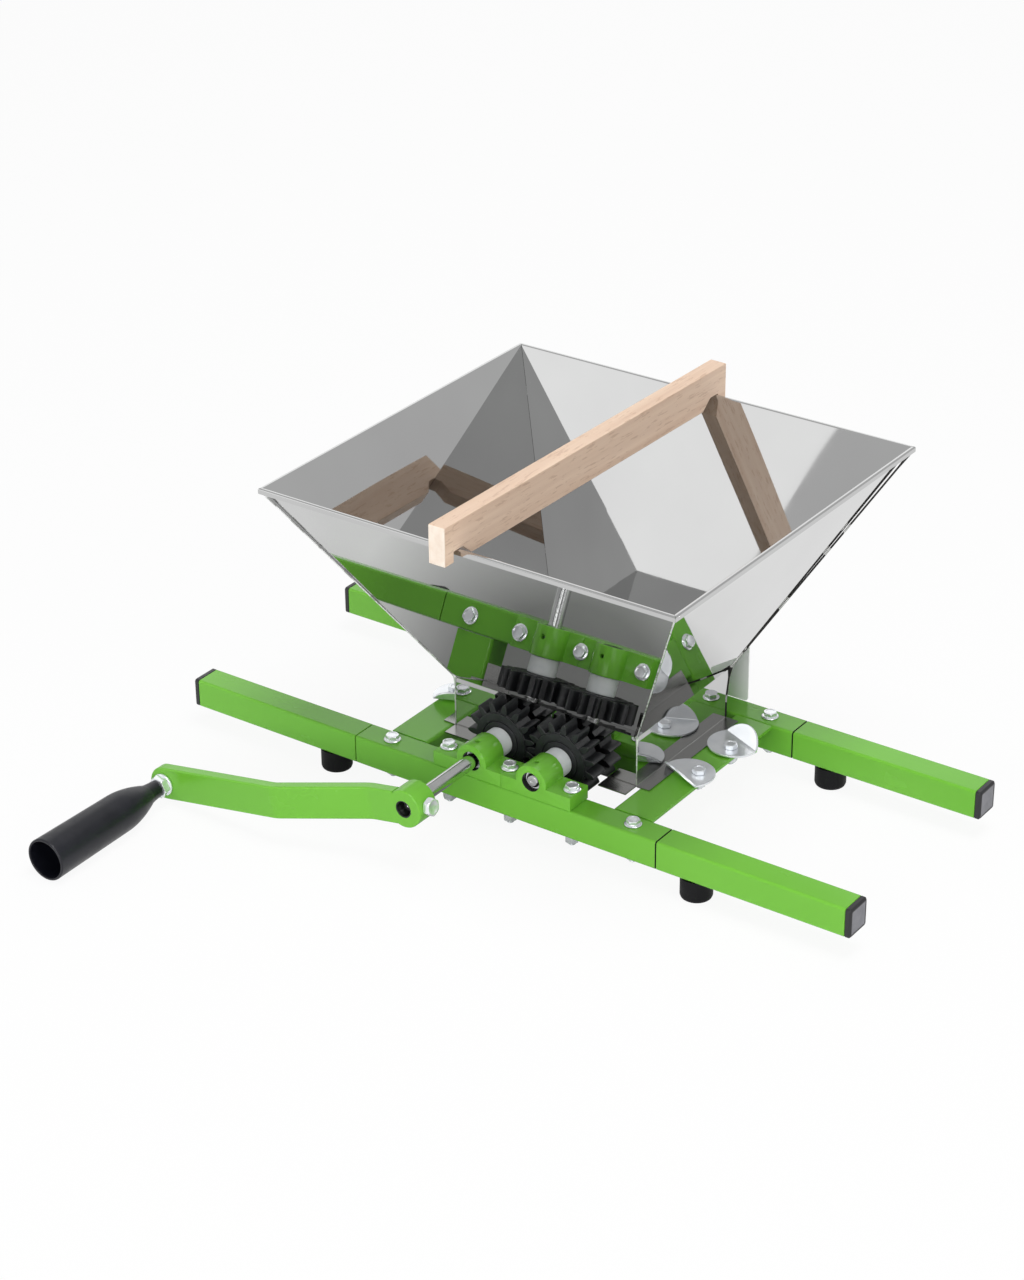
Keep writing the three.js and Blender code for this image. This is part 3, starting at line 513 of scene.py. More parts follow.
def moulded_black(name, dark, pale, roughness, grain, shine=0.5, slot="black_plastic"):
    """Moulded black plastic: a fine even grain, and a shade that drifts between dark and pale."""
    made = Finish(name, slot, dark, roughness, Specular_IOR_Level=shine)
    made.tones(30, dark, pale)
    made.gloss(120, roughness - 0.05, roughness + 0.06)
    made.bump(made.patches(Scale=1500, Detail=1), grain, 0.0004)
    return made


def cap_black():
    """The tube caps' plastic: black round the sides and on the raised edge, and grey on the face within
    9.7 mm of the tube's axis, across and up: the grey is a painted sheen of the lit satin face."""
    made = Finish("cap_black", "black_plastic", (0.02, 0.02, 0.022), 0.36)
    up = made.apart(made.z, ORIGIN[2] - TUBE / 2)
    # Painted sheen: the end face is grey where its satin surface would catch the light
    face = made.math("LESS_THAN", made.math("MAXIMUM", made.off_rail(), up), 0.0097)
    grey = made.mix(made.patches(Scale=90), (0.15, 0.15, 0.17), (0.21, 0.21, 0.235))
    made.feed("Base Color", made.mix(face, (0.012, 0.012, 0.014), grey))
    made.gloss(120, 0.3, 0.42)
    made.bump(made.patches(Scale=900, Detail=1), 0.1, 0.0004)
    return made


def bushing_nylon():
    """Off-white nylon, a little clouded, with faint turning marks along the collar."""
    made = Finish("bushing_nylon", "white_nylon", (0.8, 0.82, 0.83), 0.38)
    made.tones(110, (0.74, 0.78, 0.79), (0.86, 0.88, 0.88))
    made.gloss(200, 0.34, 0.5)
    made.bump(made.streaks(0.1, 1, 0.1, Scale=700), 0.08, 0.0004)
    return made


def beech():
    """Planed beech, its grain along y: long colour bands across x and z, and short dark flecks. The sawn
    ends are paler and have no flecks: partly paler end grain, partly painted light on the lit ends."""
    made = Finish("planed_beech", "beech", (0.8, 0.6, 0.45), 0.5)
    bands = made.streaks(1, 0.03, 1, Scale=150)
    broad = made.streaks(1, 0.02, 1, Scale=30)
    flecks = made.streaks(1, 0.12, 1, Scale=520)
    body = made.mix(bands, (0.86, 0.65, 0.49), (0.66, 0.44, 0.31))
    toned = made.mix(made.math("MULTIPLY", broad, 0.5), body, (0.88, 0.69, 0.54))
    dark_fleck = made.math("MULTIPLY", made.math("GREATER_THAN", flecks, 0.7), 0.35)
    sides = made.mix(dark_fleck, toned, (0.45, 0.25, 0.15))
    sawn = made.math("GREATER_THAN", made.apart(made.y, BAR_Y + ORIGIN[1]), (BAR_HALF - 0.6) / 1000)
    # The pale end colour is end grain with its rings, and partly painted light of the lit ends
    rings = made.mix(made.patches(Scale=160), (0.93, 0.82, 0.71), (0.86, 0.72, 0.6))
    made.feed("Base Color", made.mix(sawn, sides, rings))
    made.gloss(80, 0.42, 0.58)
    made.bump(flecks, 0.12, 0.0005)
    return made


# Looks
GREEN = green_enamel()
STEEL = mirror_steel("mirror_steel", 0.55, 0.014, 0.03)
SATIN_STEEL = mirror_steel("satin_steel", 0.55, 0.3, 0.4)
DULL_STEEL = dull_steel()
# The rear beads are near black: painted shadow of the gap between the sheets, with pale tack spots
SEAM = {"rear": seam_bead("painted_shadow_seam", (0.012, 0.011, 0.01), (0.35, 0.35, 0.34), 0.22),
        "front": seam_bead("bright_seam", (0.5, 0.5, 0.49), (0.85, 0.85, 0.85), 0.6)}
ZINC = zinc_plate()
SHAFT = turned_steel()
ALUMINIUM = cast_aluminium()
GEAR_BLACK = moulded_black("gear_black", (0.006, 0.007, 0.008), (0.014, 0.015, 0.017), 0.4, 0.15)
GRIP_BLACK = moulded_black("grip_black", (0.004, 0.0045, 0.008), (0.008, 0.0085, 0.014), 0.36, 0.06, 0.38)
CAP_BLACK = cap_black()
RUBBER = moulded_black("foot_rubber", (0.002, 0.002, 0.003), (0.004, 0.004, 0.005), 0.56, 0.2, 0.2, "rubber")
NYLON = bushing_nylon()
BEECH = beech()


# Pieces
MERGE = 2e-6
SHARP = 34


def linked(name, data):
    """A new object in the scene."""
    made = bpy.data.objects.new(name, data)
    bpy.context.scene.collection.objects.link(made)
    return made


def cleaned(mesh, flat=False):
    """Doubled points merged and faces turned out. Flat regions can become single faces."""
    work = bmesh.new()
    work.from_mesh(mesh)
    bmesh.ops.remove_doubles(work, verts=work.verts, dist=MERGE)
    if flat:
        bmesh.ops.dissolve_limit(work, angle_limit=0.002, verts=work.verts, edges=work.edges)
    bmesh.ops.dissolve_degenerate(work, edges=work.edges, dist=MERGE / 2)
    bmesh.ops.recalc_face_normals(work, faces=work.faces)
    work.to_mesh(mesh)
    work.free()
    mesh.shade_smooth()


def on_body(piece, body, nodes):
    """The piece's place in the machine: its body and the solids it replaces."""
    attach(piece, body)
    if nodes:
        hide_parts(*nodes)


def finished(name, shell, look, *nodes, body="frame", angle=SHARP):
    """A piece from a shell, smooth but for edges sharper than the angle."""
    points, faces = shell
    mesh = bpy.data.meshes.new(name)
    mesh.from_pydata(((points + ORIGIN) / 1000).tolist(), [], faces)
    cleaned(mesh)
    mesh.set_sharp_from_angle(angle=math.radians(angle))
    mesh.materials.append(look.material)
    piece = linked(name, mesh)
    normals = piece.modifiers.new("weighted normals", "WEIGHTED_NORMAL")
    normals.keep_sharp = True
    on_body(piece, body, nodes)


def bevelled(name, source, look, bevel):
    """A piece on the frame that keeps its solid's form, with bevelled edges."""
    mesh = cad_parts[source].data.copy()
    mesh.name = name
    mesh.materials.clear()
    mesh.materials.append(look.material)
    cleaned(mesh, flat=True)
    piece = linked(name, mesh)
    edges = piece.modifiers.new("rounded edges", "BEVEL")
    edges.width = bevel / 1000
    edges.segments = 2
    edges.angle_limit = math.radians(SHARP)
    edges.harden_normals = True
    on_body(piece, "frame", [source])


# Frame
def tube_shell(x0, x1):
    """A square tube along x: rings of a rounded square with rounded ends, then back through the bore."""
    x, inset = round_ends(x0, x1, 0.5, 3)
    x, inset = np.append(x, [x1, x0]), np.append(inset, [TUBE_WALL, TUBE_WALL])
    return skin(square_rings(x, inset, np.maximum(TUBE_CORNER - inset, 0.4)), True, True)


for end in ("front", "rear"):
    shell = placed(tube_shell(-SEAM_X + SHADOW, SEAM_X - SHADOW), (0, SIGN[end] * RAIL_Y, -TUBE / 2))
    finished(f"{end}_middle_tube", shell, GREEN, f"{end}_rail")
for end, side, back, right in CORNERS:
    x0, x1 = sorted((right * (SEAM_X + GAP + SHADOW), right * (CAP_X - GAP)))
    shell = placed(tube_shell(x0, x1), (0, back * RAIL_Y, -TUBE / 2))
    finished(f"{end}_{side}_extension_tube", shell, GREEN, f"{end}_{side}_extension_rail")


def cap_shell():
    """An end cap along x: a small round, a flat band, a chamfer and the end face's raised edge."""
    rows = [(0.5, 0), (0.12, 0.12), (0, 0.5), (0, 3.3), (0.12, 3.6), (1.2, 4.65), (1.7, 4.9), (2.3, 4.9),
            (2.8, 4.65)]
    inset, x = np.array(rows).T
    return capped(square_rings(x, inset, np.maximum(TUBE_CORNER - inset * 0.5, 0.9)))


for end, side, back, right in CORNERS:
    shell = placed(cap_shell(), (right * CAP_X, back * RAIL_Y, -TUBE / 2), flip_x=side == "left")
    finished(f"{end}_{side}_tube_cap", shell, CAP_BLACK, f"{end}_{side}_end_cap")

foot_profile = [[0.5, 0], [12.2, 0], [FOOT_R, 2.2], [FOOT_R, FOOT_HEIGHT], [0.5, FOOT_HEIGHT]]
foot = swapped(turned(rounded(foot_profile, [1, 1.6, 0.5])), 0, 2, 1)
for end, side, back, right in CORNERS:
    shell = placed(foot, (right * FOOT_X, back * RAIL_Y, GROUND))
    finished(f"{end}_{side}_rubber_foot", shell, RUBBER, f"{end}_{side}_foot")


def angle_shell():
    """An angle section in x and z with a rounded bend, carried along y between the rails."""
    web = CROSS_INNER + CROSS_SHEET
    section = [[CROSS_INNER, -TUBE], [web, -TUBE], [web, -CROSS_SHEET], [CROSS_OUTER, -CROSS_SHEET],
               [CROSS_OUTER, 0], [CROSS_INNER, 0]]
    section = rounded(section, [0.5, 0.5, 0.8, 0.6, 0.6, 3.2], closed=True)
    return extruded(section, -RAIL_INNER + GAP, RAIL_INNER - GAP, 0.2)


for side in ("left", "right"):
    shell = placed(angle_shell(), flip_x=side == "left")
    finished(f"{side}_cross_angle", shell, GREEN, f"{side}_cross_member")


# Bolts
def flange_bolt(grip, turn, deep=5, washers=()):
    """A hexagon flange bolt with its head on z = 0, and its nut under the gripped length and washers of
    (radius, top, bottom). The free end's thread is shallow ridges."""
    below = grip + (washers[-1][2] if washers else 0)
    end = below + deep
    thread = [(2.95 - 0.3 * (k % 2), -(end + 0.1 + 0.34 * k)) for k in range(7)]
    head = [(2.6, -(end + 2.5)), *thread[::-1], (3, -end), (3, 0), (6.6, 0), (7, 0.2), (7, 0.6), (6.7, 0.85),
            (6.1, 1.15), (5, 5.77, 1.3), (5, 5.77, 4), (5, 5.55, 4.2), (5, 5.25, 4.38), (5, 5, 4.5),
            (4.7, 4.6), (4, 4.6), (3.6, 4.4), (3.2, 4.28), (0.4, 4.24)]
    nut = [(3.3, -below), (5, -below - 0.05), (5, 5.45, -below - 0.3), (5, 5.77, -below - 0.7),
           (5, 5.77, -end + 0.6), (5, 5.45, -end + 0.25), (4.9, -end), (3.3, -end)]
    rings = []
    for r, top, bottom in washers:
        high, low = -grip - top, -grip - bottom
        rim = [(r - 0.2, high), (r, high - 0.2), (r, low + 0.2), (r - 0.2, low)]
        rings.append(hexed([(3.3, high), *rim, (3.3, low)]))
    return joined(hexed(head, turn=turn), hexed(nut, turn=turn + 0.3), *rings)


turns = iter(np.linspace(0.1, 5.9, 10) * 1.37)
for end, side, back, right in CORNERS:
    shell = placed(flange_bolt(TUBE + 2 * GAP, next(turns)), (right * FRAME_BOLT_X, back * RAIL_Y, GAP))
    finished(f"{end}_{side}_rail_bolt", shell, ZINC, f"{end}_{side}_frame_bolt")
for end in ("front", "rear"):
    for place, x in (("left", -EAR_BOLT_X), ("middle", 0), ("right", EAR_BOLT_X)):
        bolt = flange_bolt(TUBE + EAR_TOP + 2 * GAP, next(turns), 6.4, [(6, 0, 1.6), (5, 1.6, 3.2)])
        shell = placed(bolt, (x, BLOCK_Y[end], EAR_TOP + GAP))
        finished(f"{end}_{place}_block_bolt", shell, ZINC, f"{end}_{place}_bearing_bolt")


# Bearings
for end, side, _, _ in CORNERS:
    bevelled(f"{end}_{side}_cast_block", f"{end}_{side}_bearing_block", GREEN, 0.7)


def bushing_shell(collar):
    """A flanged sleeve on the y axis, its collar over y = 0, with all its edges rounded."""
    profile = [[BORE_R, -20], [SLEEVE_R, -20], [SLEEVE_R, GAP], [COLLAR_R, GAP], [COLLAR_R, GAP + collar],
               [BORE_R, GAP + collar]]
    return turned(rounded(profile, [0.3, 0.3, 0.2, 0.5, 0.6, 0.4], 3, closed=True), closed=True)


for end, side, back, right in CORNERS:
    at = (right * SHAFT_X, BLOCK_Y[end] - back * TUBE / 2, SHAFT_Z)
    shell = placed(bushing_shell(COLLAR[end]), at, (0, 0, 0 if end == "front" else math.pi))
    finished(f"{end}_{side}_nylon_bushing", shell, NYLON, f"{end}_{side}_bushing")


# Shafts, gears and rollers
def shaft_shell(front, rear):
    """A bar along y with a wide chamfer and a shallow centre hole at each end."""
    end = [(0.7, 0.9), (1.3, 0.1), (1.5, 0), (4.1, 0), (4.3, 0.1), (5.9, 1.7), (SHAFT_R, 2)]
    return turned([(r, front + d) for r, d in end] + [(r, rear - d) for r, d in end[::-1]])


def gear_shell():
    """A gear along y from 0 to its width. Columns follow the outline of leaf-shaped teeth, whose half
    width is 2.9 (1 - h^2.4)^0.6 at a share h of their height. Rows run from the bore over the hub ring,
    the raised disc and the teeth, and the inner ones are circles."""
    steps = 9
    tooth = np.pi + circle(GEAR_TEETH)[:, None]
    i = np.arange(-steps, steps + 1)
    height = np.sin((1 - np.abs(i) / steps) * np.pi / 2)
    along = ROOT_R + TOOTH_HEIGHT * height
    half = TOOTH_HALF * (1 - height**2.4) ** 0.6 * np.sign(i)
    x = (along * np.cos(tooth) - half * np.sin(tooth)).ravel()
    z = (along * np.sin(tooth) + half * np.cos(tooth)).ravel()
    outline = np.stack([x, z], -1)
    ray = unit(outline)
    face = [(BORE_R, 0.3), (6.8, 0), (15.6, 0), (16, 0.1), (16.3, 0.5), (16.5, 1), (17, 1), (17.2, 0.4),
            (17.6, 0.05), (18, 0), (23.3, 0), (23.7, 0.15), (23.8, 0.5), (23.8, 1), (BORE_R, GEAR_WIDTH)]
    rings = [grid_of(ray[:, 0] * radius, y, ray[:, 1] * radius) for radius, y in face]
    back = rings.pop()
    for y, inset in zip(*round_ends(1, GEAR_WIDTH, 0.45, 3)):
        moved = offset(outline, -inset, closed=True)
        rings.append(grid_of(moved[:, 0], y, moved[:, 1]))
    return skin(np.stack([*rings, back]), True, True)


def roller_shell():
    """A crushing roller: rounded ribs, the radius 26 + 1.5 cos(10 angle), along y with rounded ends."""
    angle = circle(240)
    radius = ROLLER_R + ROLLER_WAVE * np.cos(ROLLER_RIBS * angle)
    outline = np.stack([radius * np.cos(angle), radius * np.sin(angle)], -1)
    inset = SHEET + ROLLER_END_GAP
    return extruded(outline, SKIRT_FRONT + inset, SKIRT_REAR - inset, 0.8)


SHAFT_REAR = BLOCK_Y["rear"] + TUBE / 2 - SHAFT_RECESS
for name, side, front in (("drive", -1, HUB_FRONT + SHAFT_IN_HUB),
                          ("driven", 1, -RAIL_Y - TUBE / 2 + SHAFT_RECESS)):
    axis = np.array([side * SHAFT_X, 0, SHAFT_Z])
    body = f"{name}_line"
    shaft = placed(shaft_shell(front, SHAFT_REAR), axis)
    finished(f"{name}_round_shaft", shaft, SHAFT, f"{name}_shaft", body=body)
    gear = placed(gear_shell(), axis + [0, GEAR_FRONT, 0])
    finished(f"{name}_toothed_gear", gear, GEAR_BLACK, f"{name}_gear", body=body)
    finished(f"{name}_ribbed_roller", placed(roller_shell(), axis), ALUMINIUM, f"{name}_roller", body=body)


# Hopper panels
def sheet_shell(path, thickness, across, columns):
    """A bent sheet: a path of (out, z) points and the same path moved by the thickness, both carried
    over the columns' shares by across(out, z, share), and closed along all edges."""
    loop = np.concatenate([path, offset(path, thickness)[::-1]])
    points, faces = skin(across(loop[:, :1], loop[:, 1:], np.array(columns)), True)
    last = len(loop) - 1
    k = np.arange(len(path) - 1)
    first_edge = np.stack([k, k + 1, last - k - 1, last - k], -1) * len(columns)
    return points, faces + first_edge.tolist() + (first_edge + len(columns) - 1).tolist()


def rim_path(fold_out, rim_out, start):
    """A panel's outer face from its start, over the fold, up the flare and round the turned-down hem."""
    out, top = rim_out - SHEET, RIM_Z - SHEET
    points = [*start, [fold_out, FOLD_Z], [out - HEM, top], [out, top], [out, top - HEM_DROP]]
    return rounded(points, [0.8] * (len(start) - 1) + [1.6, 0.5, 0.5], 5)


def slot_columns():
    """The skirts' columns as places x and lower edges z. The lower edge rises in an arch over each
    shaft slot, and columns are doubled at the slot's straight sides."""
    angle = np.linspace(np.pi, 0, 13)
    arch_x, arch_z = SHAFT_X + SLOT_R * np.cos(angle), SHAFT_Z + SLOT_R * np.sin(angle)
    x = np.concatenate([[0, 10, arch_x[0]], arch_x, [arch_x[-1], 48, 60, 74, THROAT]])
    z = np.concatenate([[GAP] * 3, arch_z, [GAP] * 5])
    return np.concatenate([-x[:0:-1], x]), np.concatenate([z[:0:-1], z])


columns_x, floor_z = slot_columns()
share_x = columns_x / THROAT


def raised(z):
    """Heights of the skirt's rows, squeezed up to the slots' edge below the fold."""
    top = FOLD_Z - 2
    return z + (floor_z - GAP) * np.clip((top - z) / (top - GAP), 0, 1)


def lean(z):
    """How far the rear skirt has leaned out at a height."""
    return (FOLD_REAR - SKIRT_REAR) * np.clip((z - LEAN_Z) / (FOLD_Z - LEAN_Z), 0, 1)


def front_across(out, z, share):
    """x is the share of the half width between the corner planes, y is the face's place."""
    half = THROAT + (out + SKIRT_FRONT) * FRONT_SLOPE - SEAM_GAP
    return grid_of(half * share, -out, raised(z))


def tab_across(side):
    """The across function of the front flange's tab on one side, 26 mm wide."""
    return lambda out, z, share: grid_of(side * (75 + 13 * share - SEAM_GAP), -out, z)


front_path = rim_path(-SKIRT_FRONT, -RIM_FRONT, [[-SKIRT_FRONT, GAP]])
front_panel = sheet_shell(front_path, -SHEET, front_across, share_x)
tab_path = np.array([[-SKIRT_FRONT + out, GAP + SHEET] for out in (FRONT_FLANGE, 8, -0.5)])
tabs = [sheet_shell(tab_path, -SHEET, tab_across(side), (-1, 1)) for side in (-1, 1)]
finished("front_mirror_panel", joined(front_panel, *tabs), STEEL, "hopper_front_panel")


def rear_across(out, z, share):
    """The rear panel: within the side skirts below the fold and on the corner planes above it."""
    flared = THROAT + (out - FOLD_REAR) * REAR_SLOPE - SEAM_GAP
    half = np.where(z < FOLD_Z + 0.2, np.minimum(WITHIN, flared), flared)
    up = raised(z)
    return grid_of(half * share, out + lean(up) - lean(z), up)


rear_path = rim_path(FOLD_REAR, RIM_REAR, [[SKIRT_REAR, GAP], [SKIRT_REAR, LEAN_Z]])
rear_panel = sheet_shell(rear_path, -SHEET, rear_across, share_x)
finished("rear_mirror_panel", rear_panel, STEEL, "hopper_rear_panel")


def side_across(side):
    """The across function of a side panel: y runs between the corner planes and along the rear skirt's
    lean, and the flange keeps to the skirts' places."""
    def across(out, z, share):
        flared = out - THROAT - SEAM_GAP
        flange = (out > THROAT + 2) & (z < 4)
        first = np.where(flange, SKIRT_FRONT, SKIRT_FRONT - flared / FRONT_SLOPE)
        last = np.where(flange, SKIRT_REAR, SKIRT_REAR + lean(z) + flared / REAR_SLOPE)
        return grid_of(side * out, first + (last - first) * share, z)
    return across


side_path = rim_path(THROAT, RIM_X, [[THROAT + SIDE_FLANGE, GAP + SHEET], [THROAT, GAP + SHEET]])
for side in ("left", "right"):
    shell = sheet_shell(side_path, -SHEET, side_across(SIGN[side]), np.linspace(0, 1, 9))
    finished(f"{side}_mirror_panel", shell, STEEL, f"hopper_{side}_panel")


# Hopper seams
def seam_line(end, right):
    """Points up the hopper's corner from the rail to the rim, crowded at the fold."""
    low_y, fold_y, rim_y = {"front": (SKIRT_FRONT, SKIRT_FRONT, RIM_FRONT),
                            "rear": (SKIRT_REAR, FOLD_REAR, RIM_REAR)}[end]
    fold = np.array([THROAT, fold_y, FOLD_Z])
    rise = np.array([RIM_X - THROAT, rim_y - fold_y, RIM_Z - FOLD_Z]) * 0.985
    up = fold + rise * (np.linspace(0, 1, 25) ** 2)[:, None]
    down = [[THROAT, low_y, 1.8], [THROAT, low_y, LEAN_Z], [THROAT, low_y + (fold_y - low_y) * 0.7, 37]]
    return np.concatenate([down, up]) * [right, 1, 1]


for end, side, back, right in CORNERS:
    # A bead with knots at the fold and near the rim, and a folded strip that lies on the side panel in
    # front and stands out past the corner at the rear
    line = seam_line(end, right)
    fold, top = line[3], line[-1]
    distance = np.minimum(np.linalg.norm(line - fold, axis=1), np.linalg.norm(line - top, axis=1) + 2)
    size, knot = (0.55, 0.9) if end == "front" else (0.8, 1.3)
    bead = piping(line, size + knot * np.exp(-(distance / 2.2) ** 2), (1, -right * back, 0))
    out = unit(np.array([right * (RIM_Z - FOLD_Z), 0, THROAT - RIM_X]))
    wide = np.cross(out, unit(top - fold))
    wide *= np.sign(wide[1])
    shift, widths = (out * 0.1, (1.6, 4.2)) if end == "front" else (wide * 0.6 - out * 0.9, (1.8, 2.4))
    tab = strip((fold + shift, top + shift), [wide * width for width in widths], out * 0.8)
    finished(f"{end}_{side}_corner_bead", bead, SEAM[end])
    finished(f"{end}_{side}_corner_tab", tab, STEEL)


# Guard and deflectors
def guard_across(out, z, share):
    """The guard's width, drawn in at its lower corners by a quarter circle of 3 mm."""
    corner = 3 - np.sqrt(np.clip(9 - np.clip(3 + GAP - z, 0, 3) ** 2, 0, None))
    return grid_of((THROAT - corner) * share, out, z)


guard_path = rounded([[GUARD_Y, GAP], [GUARD_Y, 97.63], [119.47, 108.15]], 1.5, 5)
guard_rows = np.concatenate([[[GUARD_Y, GAP + d] for d in (0, 0.4, 1, 1.8, 3)], guard_path[1:]])
guard = sheet_shell(guard_rows, GUARD_SHEET, guard_across, (-1, 1))
finished("rear_guard_sheet", guard, DULL_STEEL, "rear_guard_plate")


def deflector_across(side):
    """The across function of a deflector, which runs from the front skirt to the rear one."""
    def across(out, z, share):
        return grid_of(side * np.minimum(out, WITHIN), DEFLECTOR_FRONT + DEFLECTOR_LENGTH * share, z)
    return across


deflector_path = rounded([[WITHIN, 43], [DEFLECTOR_X, 22], [DEFLECTOR_X, 3]], 1.5, 5)
for side in ("left", "right"):
    shell = sheet_shell(deflector_path, -SHEET, deflector_across(SIGN[side]), (0, 1))
    finished(f"{side}_deflector_sheet", shell, SATIN_STEEL, f"{side}_deflector")


# Clamp plates and their bolts
def clamp_shell(hand):
    """A disc folded up by 52 degrees along a chord. Rows of constant v hold points
    u = share sqrt(R^2 - v^2), which beyond the fold run round an arc of radius 3 and then straight up
    the flap. The rim is rounded by 0.4."""
    fold, bend, angle, edge = -7.5, 3, math.radians(52), 0.4
    start = fold + bend * math.tan(angle / 2)
    inner = CLAMP_R - edge

    def bent(u, v, h):
        """Points u, v of the flat disc, at the height h over its underside, after the fold."""
        distance = np.clip(start - v, 0, None)
        a = np.minimum(distance / bend, angle)
        beyond = np.clip(distance - bend * angle, 0, None)
        y = np.where(v > start, v, start - bend * np.sin(a) - beyond * np.cos(angle))
        z = bend * (1 - np.cos(a)) + beyond * np.sin(angle)
        return grid_of(u, y + h * np.sin(a), z + h * np.cos(a))

    low = -inner * np.cos(np.linspace(0, 1.1, 12))
    flat = start + 0.6
    mid = np.linspace(low[-1], flat, 9)[1:]
    high = flat + (inner - flat) * np.sin(np.linspace(0, np.pi / 2, 14))[1:]
    v = np.concatenate([low, mid, high])[:, None]
    wide = np.sqrt(np.clip(inner**2 - v**2, 0, None))
    u = np.sin(np.linspace(-np.pi / 2, np.pi / 2, 13)) * wide
    faces = [skin(bent(u, v, h)) for h in (0, CLAMP_SHEET)]
    half = np.hstack([wide, v])
    around = np.concatenate([half, half[::-1] * [-1, 1]])
    ray = unit(around)
    rows = []
    for grow, h in ((0, 0), (0.28, 0.12), (0.4, 0.4), (0.4, 1.4), (0.28, 1.68), (0, CLAMP_SHEET)):
        grown = around + ray * grow
        rows.append(bent(grown[:, 0], grown[:, 1], h))
    disc = joined(*faces, skin(np.stack(rows), False, True))
    return placed(disc, (-hand * CLAMP_ASIDE, -CLAMP_AHEAD, 0))


def clamp_bolt(turn):
    """A clamp plate's pivot bolt, with z = 0 on the cross-member: a spacer under the plate, a low head
    over it, and a nut under the cross-member."""
    head = [(3, 1), (4.4, 3.7), (5, 5.5, 3.75), (5, 5.77, 4), (5, 5.77, 6.9), (5, 5.5, 7.25), (5, 5.1, 7.5),
            (4.7, 7.7), (3.4, 7.7), (3, 7.4), (0.4, 7.3)]
    spacer = [(3.2, 0.3), (6.8, 0.3), (7, 0.45), (7, 1.15), (6.8, 1.3), (3.2, 1.3)]
    nut = [(3.2, -3.3), (4.9, -3.3), (5, 5.5, -3.5), (5, 5.77, -3.9), (5, 5.77, -7.7), (5, 5.5, -8.1),
           (4.9, -8.3), (3.2, -8.3)]
    shank = [(2.6, -10.8), (3, -10.4), (2.7, -10), (3, -9.6), (2.7, -9.2), (3, -8.8), (3, 4)]
    return joined(hexed(head, turn=turn), hexed(spacer), hexed(nut, turn=turn + 0.4), hexed(shank))


for end, side, back, right in CORNERS:
    at = np.array([right * CLAMP_X, CLAMP_Y[end], 0])
    turn = -right * CLAMP_TURN + (math.pi if end == "rear" else 0)
    plate = placed(clamp_shell(-back * right), at + [0, 0, GAP + SHEET + GAP], (0, 0, turn))
    finished(f"{end}_{side}_clamp_disc", plate, ZINC, f"{end}_{side}_clamp", body=f"{end}_{side}_clamp_plate")
    bolt = placed(clamp_bolt(0.5 * right + 0.3 * back), at)
    finished(f"{end}_{side}_pivot_bolt", bolt, ZINC, f"{end}_{side}_clamp_bolt")


# Crank
def on_crank(shell):
    """A shell made about the shaft's axis with the arm along -x, set at the crank's resting angle."""
    return placed(shell, (-SHAFT_X, 0, SHAFT_Z), (0, -CRANK_ANGLE, 0))


def arm_shell():
    """The joggled flat arm: stations along a path in x and y carry a section with rounded edges, whose
    half height follows the arm's round end."""
    face = HUB_FRONT - 0.03
    path = rounded([[-9, face], [-34, face], [-112, ARM_FRONT], [-CRANK_R, ARM_FRONT]], 26, 10)
    reach = CRANK_R + ARM_HALF * np.sin(np.linspace(0, np.pi / 2, 14)[1:])
    tip = np.stack([-reach, np.full(len(reach), ARM_FRONT)], -1)
    stations = np.concatenate([path, tip])
    distance = np.clip(-stations[:, 0] - CRANK_R, 0, ARM_HALF - 0.001)
    high = np.sqrt(ARM_HALF**2 - distance**2)
    normal = offset(stations, 5) / 5 - stations / 5
    depth, inset = round_ends(0, ARM_THICK, 1.6, 4)
    level = np.maximum(high[:, None] - inset, 0.02)
    level = np.concatenate([level, -level[:, ::-1]], 1)
    depth = np.concatenate([depth, depth[::-1]])
    xy = stations[:, None, :] + normal[:, None, :] * depth[:, None]
    return capped(np.concatenate([xy, level[..., None]], -1))


hub_profile = [[BORE_R, HUB_FRONT + 0.3], [7.3, HUB_FRONT], [HUB_R, HUB_FRONT], [HUB_R, HUB_REAR],
               [BORE_R, HUB_REAR]]
hub = turned(rounded(hub_profile, [0.2, 0.3, 1.2, 1.2, 0.4], closed=True), closed=True)
shell = on_crank(joined(arm_shell(), hub))
finished("crank_hub_and_arm", shell, GREEN, "crank_arm", body="drive_line", angle=40)

set_bolt = [(4, 6.3), (4, 16.3), (6.5, 7, 16.35), (6.5, 7.5, 16.8), (6.5, 7.5, 21), (6.5, 7.2, 21.3),
            (6.5, 6.8, 21.6), (6.3, 21.8), (5, 21.8), (4.4, 21.4), (0.5, 21.3)]
shell = placed(hexed(set_bolt, turn=0.35), (0, (HUB_FRONT + HUB_REAR) / 2, 0), (0, math.pi / 2, 0))
finished("crank_hub_bolt", on_crank(shell), ZINC, "crank_set_bolt", body="drive_line")


